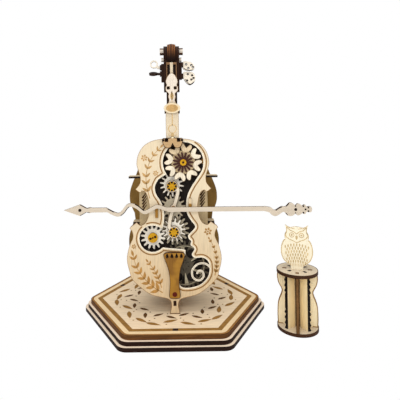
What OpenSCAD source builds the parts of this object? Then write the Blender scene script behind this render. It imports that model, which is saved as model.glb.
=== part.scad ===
/* [Sheets and clearances] */
// Thickness of the plywood sheets of the body
sheet = 2; // [1.6:0.1:2.4]
// Thickness of each plate of the base
base_sheet = 4; // [3:0.5:6]
// Free gap between a turning layer and the next layer
run_gap = 0.5; // [0.3:0.1:0.8]
// Radial play of a shaft in its bearing
shaft_play = 0.05; // [0.02:0.01:0.1]
// Play of a glued tenon in its slot
fit = 0.05; // [0.02:0.01:0.1]

/* [Base] */
// Centre to sharp corner of the top plate
base_r = 93.4; // [85:0.2:110]
// How far each plate stands out below the one above, at the corners
base_step = 3; // [2:0.5:6]
// Rounding of the base's corners
base_corner = 11; // [6:1:16]

/* [Body] */
// Front face of the front plate, measured forward from the base's centre
front_face = 39; // [34:1:46]
// Clear depth between the bearing plate and the back plate
body_depth = 31.5; // [31:0.5:40]
// Half width of the lower bout
lower_half = 47.3; // [44:0.5:52]
// Half width of the upper bout
upper_half = 36.3; // [34:0.5:40]
// Half width of the waist
waist_half = 24.2; // [23:0.2:28]
// Thickness of the keel under the body
keel_t = 3; // [2:0.5:4]

/* [Gear train] */
// Height of the lower crank gear above the table
crank_z = 93.8; // [92:0.2:96]
// Module of the teeth
tooth_module = 1.6; // [1.5:0.02:1.65]
// Diameter of the gear axles
axle_d = 3; // [2:0.2:3.4]
// Throw of the two crank discs
crank_throw = 1.6; // [1:0.1:2.2]
// Diameter of a crank disc
crank_d = 9.2; // [9:0.1:10]
// Wall of the link's rings
ring_wall = 1.7; // [1.2:0.1:2]
// Diameter of the drive arbor
arbor_d = 4; // [3:0.2:5]
// Outer radius of the flower's petals
petal_r = 19.5; // [17:0.5:20]

/* [Bow] */
// Height of the bow above the table
bow_z = 116.8; // [112:0.2:118]
// Length of the bow to the left of the post
bow_left = 108.5; // [90:0.5:115]
// Length of the bow to the right of the post
bow_right = 137; // [125:1:145]
// Width of the bow stick
bow_w = 4.5; // [3.5:0.1:5]
// Turn of the bow on its post
bow_tilt = -0.35; // [-1:0.05:1]

/* [Neck] */
// Height of the pegbox's foot above the table
pegbox_z = 236.7; // [232:0.1:242]
// Height of the pegbox from its foot to the scroll
pegbox_h = 30; // [28:0.5:34]
// Radius of the scroll
volute_r = 10; // [9:0.2:10.6]

/* [Stool] */
// Diameter of the stool's plates
stool_d = 39; // [36:0.5:46]
// Height of the stool
stool_h = 57.6; // [50:0.2:62]
// Place of the stool beside the base
stool_x = 120.2; // [118:0.2:140]
// Place of the stool in front of the base's centre
stool_y = -46.6; // [-52:0.2:-36]
// Turn of the stool about its own axis
stool_turn = -17; // [-30:1:0]
// Height of the owl above the stool
owl_h = 43; // [36:0.5:44]

/* [Hidden] */

$fn = 64;
pale = "#ead8b8";
golden = "#b0823c";
brown = "#6e4123";
olive = "#785a28";
yellow = "#e1af28";
steel = "#b9bcc0";
brass = "#c9a34a";

// Layers from the front plate back, along Y
front_y0 = -front_face;
front_y1 = front_y0 + sheet;
cap_t = 1;
cap_y0 = front_y1 + run_gap;
link_y0 = cap_y0 + cap_t + run_gap;
gear_y0 = link_y0 + sheet + run_gap;
wheel_y0 = gear_y0 + sheet + run_gap;
bearing_y0 = wheel_y0 + sheet + run_gap;
bearing_y1 = bearing_y0 + sheet;
back_y0 = bearing_y1 + body_depth;
back_y1 = back_y0 + sheet;
proud_y0 = front_y0 - sheet;
bow_y1 = proud_y0 - 0.3;
bow_y0 = bow_y1 - sheet;

// Gear train seen from the front: [x, z] centres from tooth counts and directions
crank_n = 14;
idler_n = 15;
side_n = 14;
flower_n = 18;
wheel_n = 18;
drive_n = 30;
upper_dir = 91.7;
side_dir = 197.4;
flower_dir = 63;
drive_dir = -74.1;
crank_phase = 4;
function polar(r, a) = [r * cos(a), r * sin(a)];
function centre_gap(n1, n2) = (n1 + n2) / 2 * tooth_module;
lower_c = [0, crank_z];
idler_c = lower_c + polar(centre_gap(crank_n, idler_n), upper_dir);
upper_c = idler_c + polar(centre_gap(idler_n, crank_n), upper_dir);
side_c = lower_c + polar(centre_gap(crank_n, side_n), side_dir);
flower_c = upper_c + polar(centre_gap(crank_n, flower_n), flower_dir);
drive_c = lower_c + polar(centre_gap(wheel_n, drive_n), drive_dir);
crank_turn = -90;
crank_off = polar(crank_throw, crank_turn);
// First tooth of a gear that meshes with another one in direction dir
function meshed(phase, n, dir, n2) = dir + 180 - ((phase - dir) * n + 180) / n2;
idler_phase = meshed(crank_phase, crank_n, upper_dir, idler_n);
upper_phase = meshed(idler_phase, idler_n, upper_dir, crank_n);
side_phase = meshed(crank_phase, crank_n, side_dir, side_n);
flower_phase = meshed(upper_phase, crank_n, flower_dir, flower_n);
drive_phase = meshed(crank_phase, wheel_n, drive_dir, drive_n);

tip = 0.8 * tooth_module;
root = 1.7 * tooth_module;
axle_r = axle_d / 2;
arbor_r = arbor_d / 2;
crank_r = crank_d / 2;
boss_r = 4.4;
spacer_r = axle_r + 1.7;

// Curves through chosen points: n steps a stretch
function cr(a, b, c, d, t) =
    0.5 * (2 * b + (c - a) * t + (2 * a - 5 * b + 4 * c - d) * t * t + (3 * b - a - 3 * c + d) * t * t * t);
function curve(p, n = 4) = [
    for (i = [0 : len(p) - 2], k = [0 : n - 1])
        cr(p[max(i - 1, 0)], p[i], p[i + 1], p[min(i + 2, len(p) - 1)], k / n),
    p[len(p) - 1]
];
function closed_curve(p, n = 4) = [
    for (i = [0 : len(p) - 1], k = [0 : n - 1])
        cr(p[(i + len(p) - 1) % len(p)], p[i], p[(i + 1) % len(p)], p[(i + 2) % len(p)], k / n)
];
function flip(p) = [for (i = [len(p) - 1 : -1 : 0]) [-p[i][0], p[i][1]]];
// A half outline from the bottom centre to the top centre, joined to its mirror image
function both_halves(p) = concat(p, [for (q = flip(p)) if (q[0] < -0.01) q]);
function arc(c, r, a0, a1, n) = [for (i = [0 : n]) c + polar(r, a0 + (a1 - a0) * i / n)];
// A ribbon of width w along a line of points
function ribbon(p, w) =
    let (last = len(p) - 1,
         side = [for (i = [0 : last])
             let (d = p[min(i + 1, last)] - p[max(i - 1, 0)]) [-d[1], d[0]] / norm(d) * w / 2])
    concat([for (i = [0 : last]) p[i] + side[i]], [for (i = [last : -1 : 0]) p[i] - side[i]]);
function rounded_hexagon(r, corner) = [
    for (i = [0 : 5], k = [0 : 6])
        polar(r - corner / cos(30), 60 * i) + polar(corner, 60 * i - 30 + 10 * k)
];

// An upright sheet facing the front: its drawing is in X and Z
module facing(y0, t = sheet) {
    translate([0, y0 + t, 0]) rotate([90, 0, 0])
        for (i = [0 : $children - 1]) linear_extrude(t) children(i);
}
// An upright sheet seen from the side: its drawing is in Y and Z
module sideways(x0, t = sheet) {
    translate([x0, 0, 0]) rotate([90, 0, 90]) linear_extrude(t) children();
}
module rod(c, y0, y1, r) {
    translate([c[0], y1, c[1]]) rotate([90, 0, 0]) cylinder(h = y1 - y0, r = r);
}
module tube(c, y0, y1, r, bore) {
    difference() {
        rod(c, y0, y1, r);
        rod(c, y0 - 1, y1 + 1, bore);
    }
}
module at(c) {
    translate(c) children();
}
// Toothed outline with tapered finger teeth
module toothed(n, phase) {
    r = n * tooth_module / 2;
    p = 180 * tooth_module;
    polygon([for (i = [0 : n - 1], s = [[-1, -root, 0.22], [-1, 0, 0.2], [-1, tip, 0.12],
                                       [1, tip, 0.12], [1, 0, 0.2], [1, -root, 0.22]])
        polar(r + s[1], phase + 360 * i / n + s[0] * s[2] * p / (r + s[1]))]);
}

// Base
base_top_z = 3 * base_sheet;
key_r = base_r * cos(30) - 9.9;
key_w = 4;
key_t = 4;
module key_slots(play) {
    for (a = [-90, 30, 150])
        rotate(a) translate([key_r - key_t / 2 - play, -key_w / 2 - play])
            square([key_t + 2 * play, key_w + 2 * play]);
}
module base_plate(level) {
    translate([0, 0, (2 - level) * base_sheet]) linear_extrude(base_sheet) difference() {
        polygon(rounded_hexagon(base_r + level * base_step, base_corner));
        key_slots(fit);
        if (level == 0)
            translate([-keel_t / 2 - fit, keel_y0 - fit])
                square([keel_t + 2 * fit, keel_y1 - keel_y0 + 2 * fit]);
    }
}
module base_top_plate() { color(pale) base_plate(0); }
module base_middle_plate() { color(pale) base_plate(1); }
module base_bottom_plate() { color(pale) base_plate(2); }
module base_keys() {
    color(brown) linear_extrude(base_top_z) key_slots(0);
}

// Foot: the keel stands in the top plate and carries the three body plates
keel_y0 = front_y1 + 6;
keel_y1 = back_y0 - 4;
keel_top = base_top_z + 16;
stem_slot_z = base_top_z + 7.6;
stem_slot_h = 5;
module foot_keel() {
    color(golden) sideways(-keel_t / 2, keel_t) union() {
        translate([front_y1, base_top_z]) square([back_y1 - front_y1, keel_top - base_top_z]);
        translate([keel_y0, base_top_z - base_sheet]) square([keel_y1 - keel_y0, base_sheet]);
        translate([front_y0, stem_slot_z]) square([sheet, stem_slot_h]);
    }
}
module keel_notch() {
    translate([-keel_t / 2 - fit, 0]) square([keel_t + 2 * fit, keel_top + fit]);
}

// Front plate: cello outline with pointed corners and the S-shaped window
tail_top_z = 73.5;
body_top_z = 187.5;
window_gap = 0.9;
stem_half = 3.4;
outline_half = concat(
    curve([[stem_half + 1.7, base_top_z], [stem_half, 19.5], [4.4, 24.6], [9, 27.4], [25, 31.8],
           [lower_half - 6.3, 45], [lower_half - 2.4, 54.5], [lower_half, 67],
           [lower_half - 2.4, 79.5], [lower_half - 6.2, 88.5], [lower_half - 5.4, 94.5], [44.2, 97.5]]),
    curve([[43, 99.5], [39.5, 101.8], [37, 103.8]]),
    curve([[35.6, 102], [33, 100.5], [28.5, 103], [waist_half + 1.2, 109.5], [waist_half, 119],
           [waist_half + 1.4, 128.5], [28, 133.6], [31.4, 135.2]]),
    curve([[32.8, 133.2], [34.6, 134], [38, 136.6]]),
    curve([[36.2, 138.6], [33.2, 143], [33, 149.5], [upper_half - 1, 157], [upper_half, 163.5],
           [upper_half - 2.4, 173], [27.5, 181.2], [17, 185.8], [0, body_top_z]]));
// The edge drops from the flower, passes the scallops and rounds the lower lobe behind the tailpiece
window = concat(
    arc(flower_c, petal_r + window_gap, 214, -38, 20),
    curve([[19, 140], [14.4, 131], [12.7, 121.5], [13.4, 112], [17.5, 104.5], [21.4, 98.6], [18, 94],
           [14.2, 90], [15, 86.4], [17.2, 84], [16.4, 80.2], [20.4, 76.4], [17.6, 71], [20.8, 67.4],
           [28.2, 67.6], [33.6, 64], [35.2, 57.4], [33.4, 48.4], [26, 40.8], [15, 37.6], [6.4, 38.8],
           [4.4, 46], [5, 55], [8.4, 64], [10.8, 69.6], [11.2, tail_top_z], [9.6, tail_top_z + 2.4],
           [-6, tail_top_z + 4], [-10.9, tail_top_z + 4.8]]),
    arc(side_c, 13.3, -44, -318, 16),
    curve([[-10.6, 100.5], [-9.4, 108], [-10, 116.5], [-13, 124.8], [-17.2, 131.5], [-18.4, 139],
           [-15, 146.2]]));
volute_w = 1.9;
volute = curve([[36.6, 57], [31, 61.4], [23.4, 61], [17.8, 55], [18.6, 47.6], [24.6, 44.6], [29, 48.6],
                [27.8, 53.8], [23.8, 54.2], [22.6, 51.2]]);
module front_plate() {
    color(pale) facing(front_y0) {
        difference() {
            polygon(both_halves(outline_half));
            polygon(window);
            translate([-keel_t / 2 - fit, stem_slot_z - fit])
                square([keel_t + 2 * fit, stem_slot_h + 2 * fit]);
            at([0, pin_z]) circle(pin_r + fit);
            for (x = rest_x) at([x, bow_z]) circle(rest_peg_r + fit);
        }
        polygon(ribbon(volute, volute_w));
    }
}

// Bearing plate: carries every gear axle
panel_half = 35;
post_at = [[-29, 160], [31, 163.5], [-39.5, 60], [40.5, 60]];
post_r = 2.5;
tab_x = [-24, 24];
tab_w = 8;
upper_shelf_z = 146;
lower_shelf_z = 99;
bearing_half = concat(
    [[0, 21]],
    curve([[7, 21.4], [26, 34], [38, 46], [43, 60], [42.6, 76], [panel_half + 3, 88], [panel_half, 97]]),
    curve([[panel_half, 103], [panel_half, 118], [panel_half, 131]]),
    curve([[31, 137], [30, 146], [33.4, 158], [32.8, 168], [26, 177.5], [12, 184], [0, 186]]));
back_half = concat(
    [[0, 21]],
    curve([[7, 21.4], [24, 26], [40, 40], [48, 57], [50, 75], [46.5, 89], [42.6, 97]]),
    curve([[43.4, 104], [47.4, 113], [48.6, 121], [47.6, 130], [43.6, 141], [39.4, 151], [38, 162],
           [33, 174.5], [19, 182.6], [0, 185]]));
module shelf_slots() {
    for (z = [upper_shelf_z, lower_shelf_z], x = tab_x)
        translate([x - tab_w / 2 - fit, z - fit]) square([tab_w + 2 * fit, sheet + 2 * fit]);
}
module bearing_plate() {
    color(pale) difference() {
        facing(bearing_y0) difference() {
            polygon(both_halves(bearing_half));
            keel_notch();
            shelf_slots();
        }
        for (c = [lower_c, upper_c, idler_c, side_c, flower_c])
            rod(c, bearing_y0 - 1, bearing_y1 + 1, axle_r + fit);
        rod(drive_c, bearing_y0 - 1, bearing_y1 + 1, arbor_r + 1);
        for (p = screw_at) rod(p, bearing_y0 - 1, bearing_y1 + 1, screw_r + fit);
    }
}
module back_plate() {
    color(olive) difference() {
        facing(back_y0) difference() {
            polygon(both_halves(back_half));
            keel_notch();
            shelf_slots();
        }
        rod(drive_c, back_y0 - 1, back_y1 + 1, arbor_r + shaft_play);
    }
}
ear_depth = 11;
module shelf(z, half, ear_half) {
    translate([-half, bearing_y1, z]) cube([2 * half, body_depth, sheet]);
    translate([-ear_half, bearing_y1, z]) cube([2 * ear_half, ear_depth, sheet]);
    for (x = tab_x)
        translate([x - tab_w / 2, bearing_y0, z]) cube([tab_w, body_depth + 2 * sheet, sheet]);
}
module upper_shelf() { color(pale) shelf(upper_shelf_z, 34, 46); }
module lower_shelf() { color(pale) shelf(lower_shelf_z, 34, 42); }
module body_posts() {
    color(golden) for (c = post_at) rod(c, front_y1, bearing_y0, post_r);
}

// Tailpiece with its pin, and the pads that the bow slides on
pin_z = 32;
pin_r = 1.6;
rest_x = [-17, 16.6];
rest_shift = [-2.6, 4.4];
rest_size = [2.8, 12];
rest_peg_r = 1.2;
module tailpiece() {
    half = concat(
        curve([[0, 27.5], [4.6, 28], [5.6, 31], [5, 38], [4.8, 47], [6, 56], [8.8, 64.5], [10.7, 70]]),
        curve([[10.7, 71.4], [9.6, 72.8], [7.4, tail_top_z], [0, tail_top_z]]));
    color(golden) facing(proud_y0) difference() {
        polygon(both_halves(half));
        for (i = [-1.5 : 1 : 1.5]) at([4.7 * i, 69.4]) {
            circle(1.05);
            polygon([[-1, 0.2], [0, 3], [1, 0.2]]);
        }
        at([0, pin_z]) circle(pin_r + fit);
    }
}
module tailpiece_pin() {
    color("#5a1e14") {
        rod([0, pin_z], proud_y0, front_y1, pin_r);
        rod([0, pin_z], proud_y0 - 1, proud_y0, pin_r + 0.6);
    }
}
module bow_rests() {
    color(golden) for (i = [0, 1]) {
        facing(proud_y0) at([rest_x[i], bow_z + rest_shift[i]] - rest_size / 2) square(rest_size);
        rod([rest_x[i], bow_z], front_y0, front_y1, rest_peg_r);
    }
}

// Axles: dowels fixed in the bearing plate, with washers behind the gears
axle_front = cap_y0 + cap_t + 0.3;
module gear_axles() {
    color(golden) for (c = [lower_c, upper_c, side_c, flower_c]) rod(c, axle_front, bearing_y1, axle_r);
}
module idler_axle() {
    color(golden) rod(idler_c, gear_y0 + 0.1, bearing_y1, axle_r);
}
module axle_spacers() {
    color(pale) for (c = [idler_c, upper_c, side_c, flower_c])
        tube(c, gear_y0 + sheet + 0.25, bearing_y0, spacer_r, axle_r + fit);
}

// Crank gears: each carries an off-centre disc that the link rides on
module gear(c, n, phase, y0, bore) {
    difference() {
        facing(y0) at(c) toothed(n, phase);
        rod(c, y0 - 1, y0 + sheet + 1, bore);
    }
}
module crank_disc(c) {
    difference() {
        rod(c + crank_off, cap_y0 + cap_t, gear_y0, crank_r);
        rod(c, cap_y0 + cap_t - 1, gear_y0 + 1, axle_r + shaft_play);
    }
}
// Cap with notches round its rim
cap_r = 4.9;
cap_notch = 1.15;
notch_at = cap_r - 0.8 * cap_notch;
module notched_cap(c, y0, notches) {
    facing(y0, cap_t) at(c) difference() {
        circle(cap_r);
        for (i = [0 : notches - 1])
            rotate(360 * i / notches) at([notch_at, 0]) circle(cap_notch);
    }
}
module crank_gear_lower() {
    color(pale) {
        gear(lower_c, crank_n, crank_phase, gear_y0, axle_r + shaft_play);
        tube(lower_c, gear_y0 + sheet, wheel_y0, boss_r, axle_r + shaft_play);
    }
}
module driven_wheel() { color(pale) gear(lower_c, wheel_n, crank_phase, wheel_y0, axle_r + shaft_play); }
module crank_disc_lower() { color(pale) crank_disc(lower_c); }
module cap_lower() { color(yellow) notched_cap(lower_c + crank_off, cap_y0, 8); }
module crank_gear_upper() { color(pale) gear(upper_c, crank_n, upper_phase, gear_y0, axle_r + shaft_play); }
module crank_disc_upper() { color(pale) crank_disc(upper_c); }
module cap_upper() { color(yellow) notched_cap(upper_c + crank_off, cap_y0, 8); }
module idler_gear() { color(pale) gear(idler_c, idler_n, idler_phase, gear_y0, axle_r + shaft_play); }
module side_gear() {
    color(pale) {
        gear(side_c, side_n, side_phase, gear_y0, axle_r + shaft_play);
        tube(side_c, cap_y0 + cap_t, gear_y0, boss_r, axle_r + shaft_play);
    }
}
module side_cap() {
    color(yellow) facing(cap_y0, cap_t) at(side_c) difference() {
        circle(cap_r);
        for (s = [-1, 1]) rotate(20) at([2.6 * s, 0]) scale(0.8) circle(1.4);
    }
}

// Flower: eight heart-shaped petals and a daisy, carried by the topmost gear
module flower_gear() {
    color(pale) difference() {
        union() {
            facing(gear_y0) at(flower_c) toothed(flower_n, flower_phase);
            rod(flower_c, front_y1, gear_y0, boss_r + 1);
        }
        rod(flower_c, axle_front - 0.3, gear_y0 + sheet + 1, axle_r + shaft_play);
    }
}
petal_n = 8;
petal_turn = 32.8;
petal_root = 0.62;
petal_y0 = front_y0 + 0.3;
// Half a heart from its root to its notch: across and outward, as shares of the petals' radius
heart = curve([[0.1, 0.52], [0.19, 0.59], [0.268, 0.69], [0.302, 0.8], [0.288, 0.9], [0.232, 0.965],
               [0.156, 0.955], [0.08, 0.875], [0, 0.785]], 3);
function heart_spot(a, t, r) = petal_r * (polar(r, a) + polar(t, a + 90));
petal_outline = [for (i = [0 : petal_n - 1])
    let (a = petal_turn + 360 * i / petal_n)
    each concat([polar(petal_r * petal_root, a - 180 / petal_n)],
        [for (p = heart) heart_spot(a, -p[0], p[1])],
        [for (k = [len(heart) - 2 : -1 : 0]) heart_spot(a, heart[k][0], heart[k][1])])];
module flower_petals() {
    color(pale) facing(petal_y0, front_y1 - petal_y0) at(flower_c) polygon(petal_outline);
}
daisy_n = 15;
daisy_r = 10.6;
daisy_outline = [for (i = [0 : daisy_n - 1], p = [[0.42, -0.5], [0.9, -0.26], [1, 0], [0.9, 0.26]])
    polar(daisy_r * p[0], (i + p[1]) * 360 / daisy_n)];
module flower_daisy() {
    color(brown) facing(petal_y0 - cap_t, cap_t) at(flower_c) polygon(daisy_outline);
}
module flower_hub() {
    color(yellow) tube(flower_c, petal_y0 - 2 * cap_t, petal_y0 - cap_t, 3.2, 1.2);
}

// Link and bow: the link keeps upright while its two rings ride on the crank discs
ring_r = crank_r + ring_wall;
post_c = [-0.3, bow_z];
link_w = 3.8;
module bow_link() {
    top = upper_c + crank_off;
    low = lower_c + crank_off;
    mid = (top + low) / 2;
    route = curve([top + [5, -1.4], top + [6.1, -4.8], mid + [4, 11.8], mid + [2.3, 6.2], post_c,
                   mid + [-1.3, -4.3], mid + [-2.8, -9.2], low + [-4.4, 8.4], low + [-5, 3.4]]);
    color(pale) difference() {
        facing(link_y0) {
            at(top) circle(ring_r);
            at(low) circle(ring_r);
            polygon(ribbon(route, link_w));
            at(post_c) circle(3.4);
        }
        rod(top, link_y0 - 1, link_y0 + sheet + 1, crank_r + 0.3);
        rod(low, link_y0 - 1, link_y0 + sheet + 1, crank_r + shaft_play);
    }
}
module bow_post() { color(golden) rod(post_c, bow_y1, link_y0, 2.2); }
// The bow's outline: arrow head, stick with waves, and a lobed end, in X and Z from its middle line
wave_w = 3.5;
head_half = [[0, 0], [15.6, 5.6], [16.6, 5.4], [22.4, 2], [25.6, 2.8], [27, 2.5]];
wave = concat([[-66.8, 0]], curve([[-66, 0], [-60.5, -3], [-54.8, -4.8], [-50.4, -2.4], [-46, 3.2],
    [-42, 4.8], [-36, 2.6], [-28.8, -2.6], [-21.5, 0.6], [-16, 3], [-8, 0.6]], 4), [[-2, 0]]);
end_top = curve([[-46, 2.2], [-41, 1.4], [-38, -0.8], [-36, -1.2], [-33, 0.6], [-30, 2.2], [-26, 2.2],
    [-22.6, 5.6], [-19.4, 5.4], [-17, 3.4], [-16, 3.4], [-14.2, 4.9], [-11.4, 4], [-9.4, 2.6], [-8.2, 3.6],
    [-6.4, 3.4], [-5.6, 1.6], [-4.2, 1.6], [-3, 2], [-0.8, 1.6], [0, -0.4]], 3);
end_low = curve([[-48, -2.2], [-42.5, -3.6], [-39.5, -6.4], [-36, -7.4], [-32.5, -5.8], [-29, -3.4],
    [-26.6, -4], [-24, -7], [-19.4, -7.2], [-17, -5.4], [-16, -5.4], [-14.2, -6.9], [-11.4, -6],
    [-9.4, -4.6], [-8.2, -5.6], [-6.4, -5.4], [-5.6, -3.6], [-4.2, -3.6], [-3, -4], [-0.8, -3.6],
    [0, -1.6]], 3);
function backwards(p) = [for (i = [len(p) - 1 : -1 : 0]) p[i]];
module bow() {
    color(pale) translate([0, 0, bow_z]) rotate([0, -bow_tilt, 0]) facing(bow_y0) {
        at([-bow_left, 0])
            polygon(concat(head_half, [for (q = backwards(head_half)) if (q[1] > 0) [q[0], -q[1]]]));
        polygon(ribbon([[-bow_left + 24, 0], [-66.2, 0]], bow_w));
        polygon(ribbon(wave, wave_w));
        polygon(ribbon([[-6, 0], [bow_right - 45, 0]], bow_w));
        at([bow_right, 0]) polygon(concat(end_top, backwards(end_low)));
    }
}

// Drive: gear, arbor, spring barrel and winding key turn as one
module drive_gear() {
    color(golden) difference() {
        facing(wheel_y0) at(drive_c) difference() {
            toothed(drive_n, drive_phase);
            for (i = [0 : 5]) rotate(60 * i) at([13.5, 0]) circle(4.6);
        }
        rod(drive_c, wheel_y0 - 1, wheel_y0 + sheet + 1, arbor_r + fit);
    }
}
module drive_cap() { color(yellow) notched_cap(drive_c, wheel_y0 - cap_t, 6); }
module drive_arbor() { color(steel) rod(drive_c, wheel_y0, back_y1 + 6, arbor_r); }
barrel_y0 = bearing_y1 + sheet + 0.8;
barrel_t = 10;
barrel_r = 12;
barrel_y1 = barrel_y0 + barrel_t;
module spring_barrel() {
    color(steel) difference() {
        union() {
            rod(drive_c, barrel_y0, barrel_y1, barrel_r);
            facing(barrel_y1, 1.4) at(drive_c) difference() {
                circle(barrel_r);
                circle(barrel_r - 2);
                for (i = [0 : 23]) rotate(15 * i + 7.5) translate([barrel_r - 3, -0.7]) square([4, 1.4]);
            }
        }
        rod(drive_c, barrel_y0 - 1, barrel_y1 + 1, arbor_r + fit);
    }
}
module winding_key() {
    key_y0 = back_y1 + 1.5;
    color(brass) difference() {
        union() {
            rod(drive_c, key_y0, key_y0 + 6, arbor_r + 1.6);
            translate([drive_c[0], 0, drive_c[1] - 0.8]) linear_extrude(1.6) union() {
                for (s = [-1, 1]) translate([7 * s, key_y0 + 9.6]) difference() {
                    circle(6);
                    circle(2.6);
                }
                translate([-3, key_y0 + 5]) square([6, 6]);
            }
        }
        rod(drive_c, key_y0 - 1, key_y0 + 4.5, arbor_r + fit);
    }
}

// Musical movement behind the bearing plate
bed_x0 = drive_c[0] - 41;
bed_x1 = drive_c[0] + 17;
bed_half = 19;
bed_y0 = bearing_y1;
bed_y1 = bed_y0 + sheet;
screw_at = [[bed_x0 + 4, drive_c[1] + 15], [bed_x1 - 4, drive_c[1] + 15], [bed_x1 - 4, drive_c[1] - 15]];
screw_r = 1.2;
cylinder_y = barrel_y1 + 1.4 + 0.3 + 2.4;
cylinder_r = 6;
cylinder_x0 = drive_c[0] - barrel_r - 18.5;
cylinder_x1 = drive_c[0] - barrel_r - 2.5;
ear_t = 1.4;
pivot_r = 1;
fly_x = cylinder_x0 - 6.5;
fly_y = bed_y1 + 9;
fly_half = 7;
comb_z1 = drive_c[1] - cylinder_r - 0.9;
comb_z0 = comb_z1 - 12;
module along_x(x0, x1, r) {
    translate([x0, cylinder_y, drive_c[1]]) rotate([0, 90, 0]) cylinder(h = x1 - x0, r = r);
}
module upright(z0, z1, r) {
    translate([fly_x, fly_y, z0]) cylinder(h = z1 - z0, r = r);
}
module movement_bedplate() {
    color(steel) difference() {
        union() {
            translate([bed_x0, bed_y0, drive_c[1] - bed_half])
                cube([bed_x1 - bed_x0, bed_y1 - bed_y0, 2 * bed_half]);
            for (x = [cylinder_x0 - 0.4 - ear_t, cylinder_x1 + 0.4])
                translate([x, bed_y1, drive_c[1] - 3]) cube([ear_t, cylinder_y - bed_y1 + 3, 6]);
            translate([cylinder_x0, bed_y1, comb_z0 - 1])
                cube([cylinder_x1 - cylinder_x0, cylinder_y - 0.5 - bed_y1, 6.5]);
            for (s = [-1, 1])
                translate([fly_x - 2, bed_y1, drive_c[1] + s * (fly_half + 1) - 0.75])
                    cube([4, fly_y + 2 - bed_y1, 1.5]);
        }
        rod(drive_c, bed_y0 - 1, bed_y1 + 1, arbor_r + shaft_play);
        along_x(cylinder_x0 - 4, cylinder_x1 + 4, pivot_r + shaft_play);
        upright(drive_c[1] - fly_half - 3, drive_c[1] + fly_half + 3, 0.6 + shaft_play);
        for (p = screw_at) rod(p, bed_y0 - 1, bed_y1 + 1, screw_r + fit);
    }
}
module movement_screws() {
    color(steel) for (p = screw_at) {
        rod(p, bearing_y0 + 0.2, bed_y1, screw_r);
        rod(p, bed_y1, bed_y1 + 1.4, screw_r + 1.1);
    }
}
comb_teeth = 12;
comb_screw_x = [cylinder_x0 + 4, cylinder_x1 - 4];
module comb() {
    pitch = (cylinder_x1 - cylinder_x0) / comb_teeth;
    color(steel) difference() {
        facing(cylinder_y - 0.5, 1) difference() {
            translate([cylinder_x0, comb_z0]) square([cylinder_x1 - cylinder_x0, comb_z1 - comb_z0]);
            for (i = [1 : comb_teeth - 1])
                translate([cylinder_x0 + i * pitch - 0.2, comb_z0 + 5]) square([0.4, comb_z1 - comb_z0]);
        }
        for (x = comb_screw_x) rod([x, comb_z0 + 2.4], cylinder_y - 2, cylinder_y + 2, 0.9 + fit);
    }
}
module comb_screws() {
    color(brass) for (x = comb_screw_x) {
        rod([x, comb_z0 + 2.4], cylinder_y - 0.5, cylinder_y + 0.5, 0.9);
        rod([x, comb_z0 + 2.4], cylinder_y + 0.5, cylinder_y + 1.5, 1.7);
    }
}
module music_cylinder() {
    pin_step = (cylinder_x1 - cylinder_x0) / comb_teeth;
    color(brass) {
        along_x(cylinder_x0, cylinder_x1, cylinder_r);
        along_x(cylinder_x0 - 0.4 - ear_t, drive_c[0] - barrel_r + 3, pivot_r);
        along_x(drive_c[0] - barrel_r + 0.2, drive_c[0] - barrel_r + 2, 2.4);
        for (i = [0 : comb_teeth - 1], k = [0 : 1])
            translate([cylinder_x0 + (i + 0.5) * pin_step, cylinder_y, drive_c[1]])
                rotate([137 * i + 180 * k, 0, 0]) cylinder(h = cylinder_r + 0.5, r = 0.3);
    }
}
module governor_fly() {
    color(brass) {
        upright(drive_c[1] - fly_half - 1.6, drive_c[1] + fly_half + 1.6, 0.6);
        translate([fly_x - 3, fly_y - 0.4, drive_c[1] - 4]) cube([6, 0.8, 8]);
    }
}

// Neck and scroll: upright strips side by side, between two cheeks
strip_t = 1.65;
strips_half = 2.5 * strip_t;
neck_foot_z = 183;
neck_z = body_top_z + 0.3;
pegbox_top_z = pegbox_z + pegbox_h;
neck_back = bearing_y0;
pegbox_back = neck_back + 4;
scroll_c = [front_y0 + 6, pegbox_top_z + 6];
neck_part = [[neck_back, neck_foot_z], [front_y1, neck_foot_z], [front_y1, neck_z],
             [front_y0, neck_z], [front_y0, pegbox_z]];
cheek_part = [[neck_back, pegbox_z - 2.5], [front_y1, pegbox_z - 2.5]];
// An upright layer of the pegbox with its volute, on top of the part below
module pegbox_layer(x0, t, volute_r, below) {
    union() {
        sideways(x0, t) polygon(concat(below, [[front_y1, pegbox_z], [front_y1, pegbox_top_z], scroll_c],
            curve([[pegbox_back - 0.2, scroll_c[1]], [pegbox_back, pegbox_z + 22],
                   [neck_back + 2, pegbox_z + 10], [neck_back, pegbox_z]])));
        sideways(x0, t) at(scroll_c) circle(volute_r);
    }
}
module neck_core() { color(brown) pegbox_layer(-strip_t / 2, strip_t, volute_r, neck_part); }
module scroll_strips() {
    color(brown) for (i = [-2, 2])
        pegbox_layer(i * strip_t - strip_t / 2, strip_t, volute_r - 0.6, neck_part);
    color("#8a5630") for (i = [-1, 1])
        pegbox_layer(i * strip_t - (strip_t - fit) / 2, strip_t - fit, volute_r - 0.2, neck_part);
}
cheek_t = 3.7;
cheek_x = strips_half + cheek_t;
neck_side_t = 1.1;
neck_side_z = pegbox_z - 17;
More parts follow.
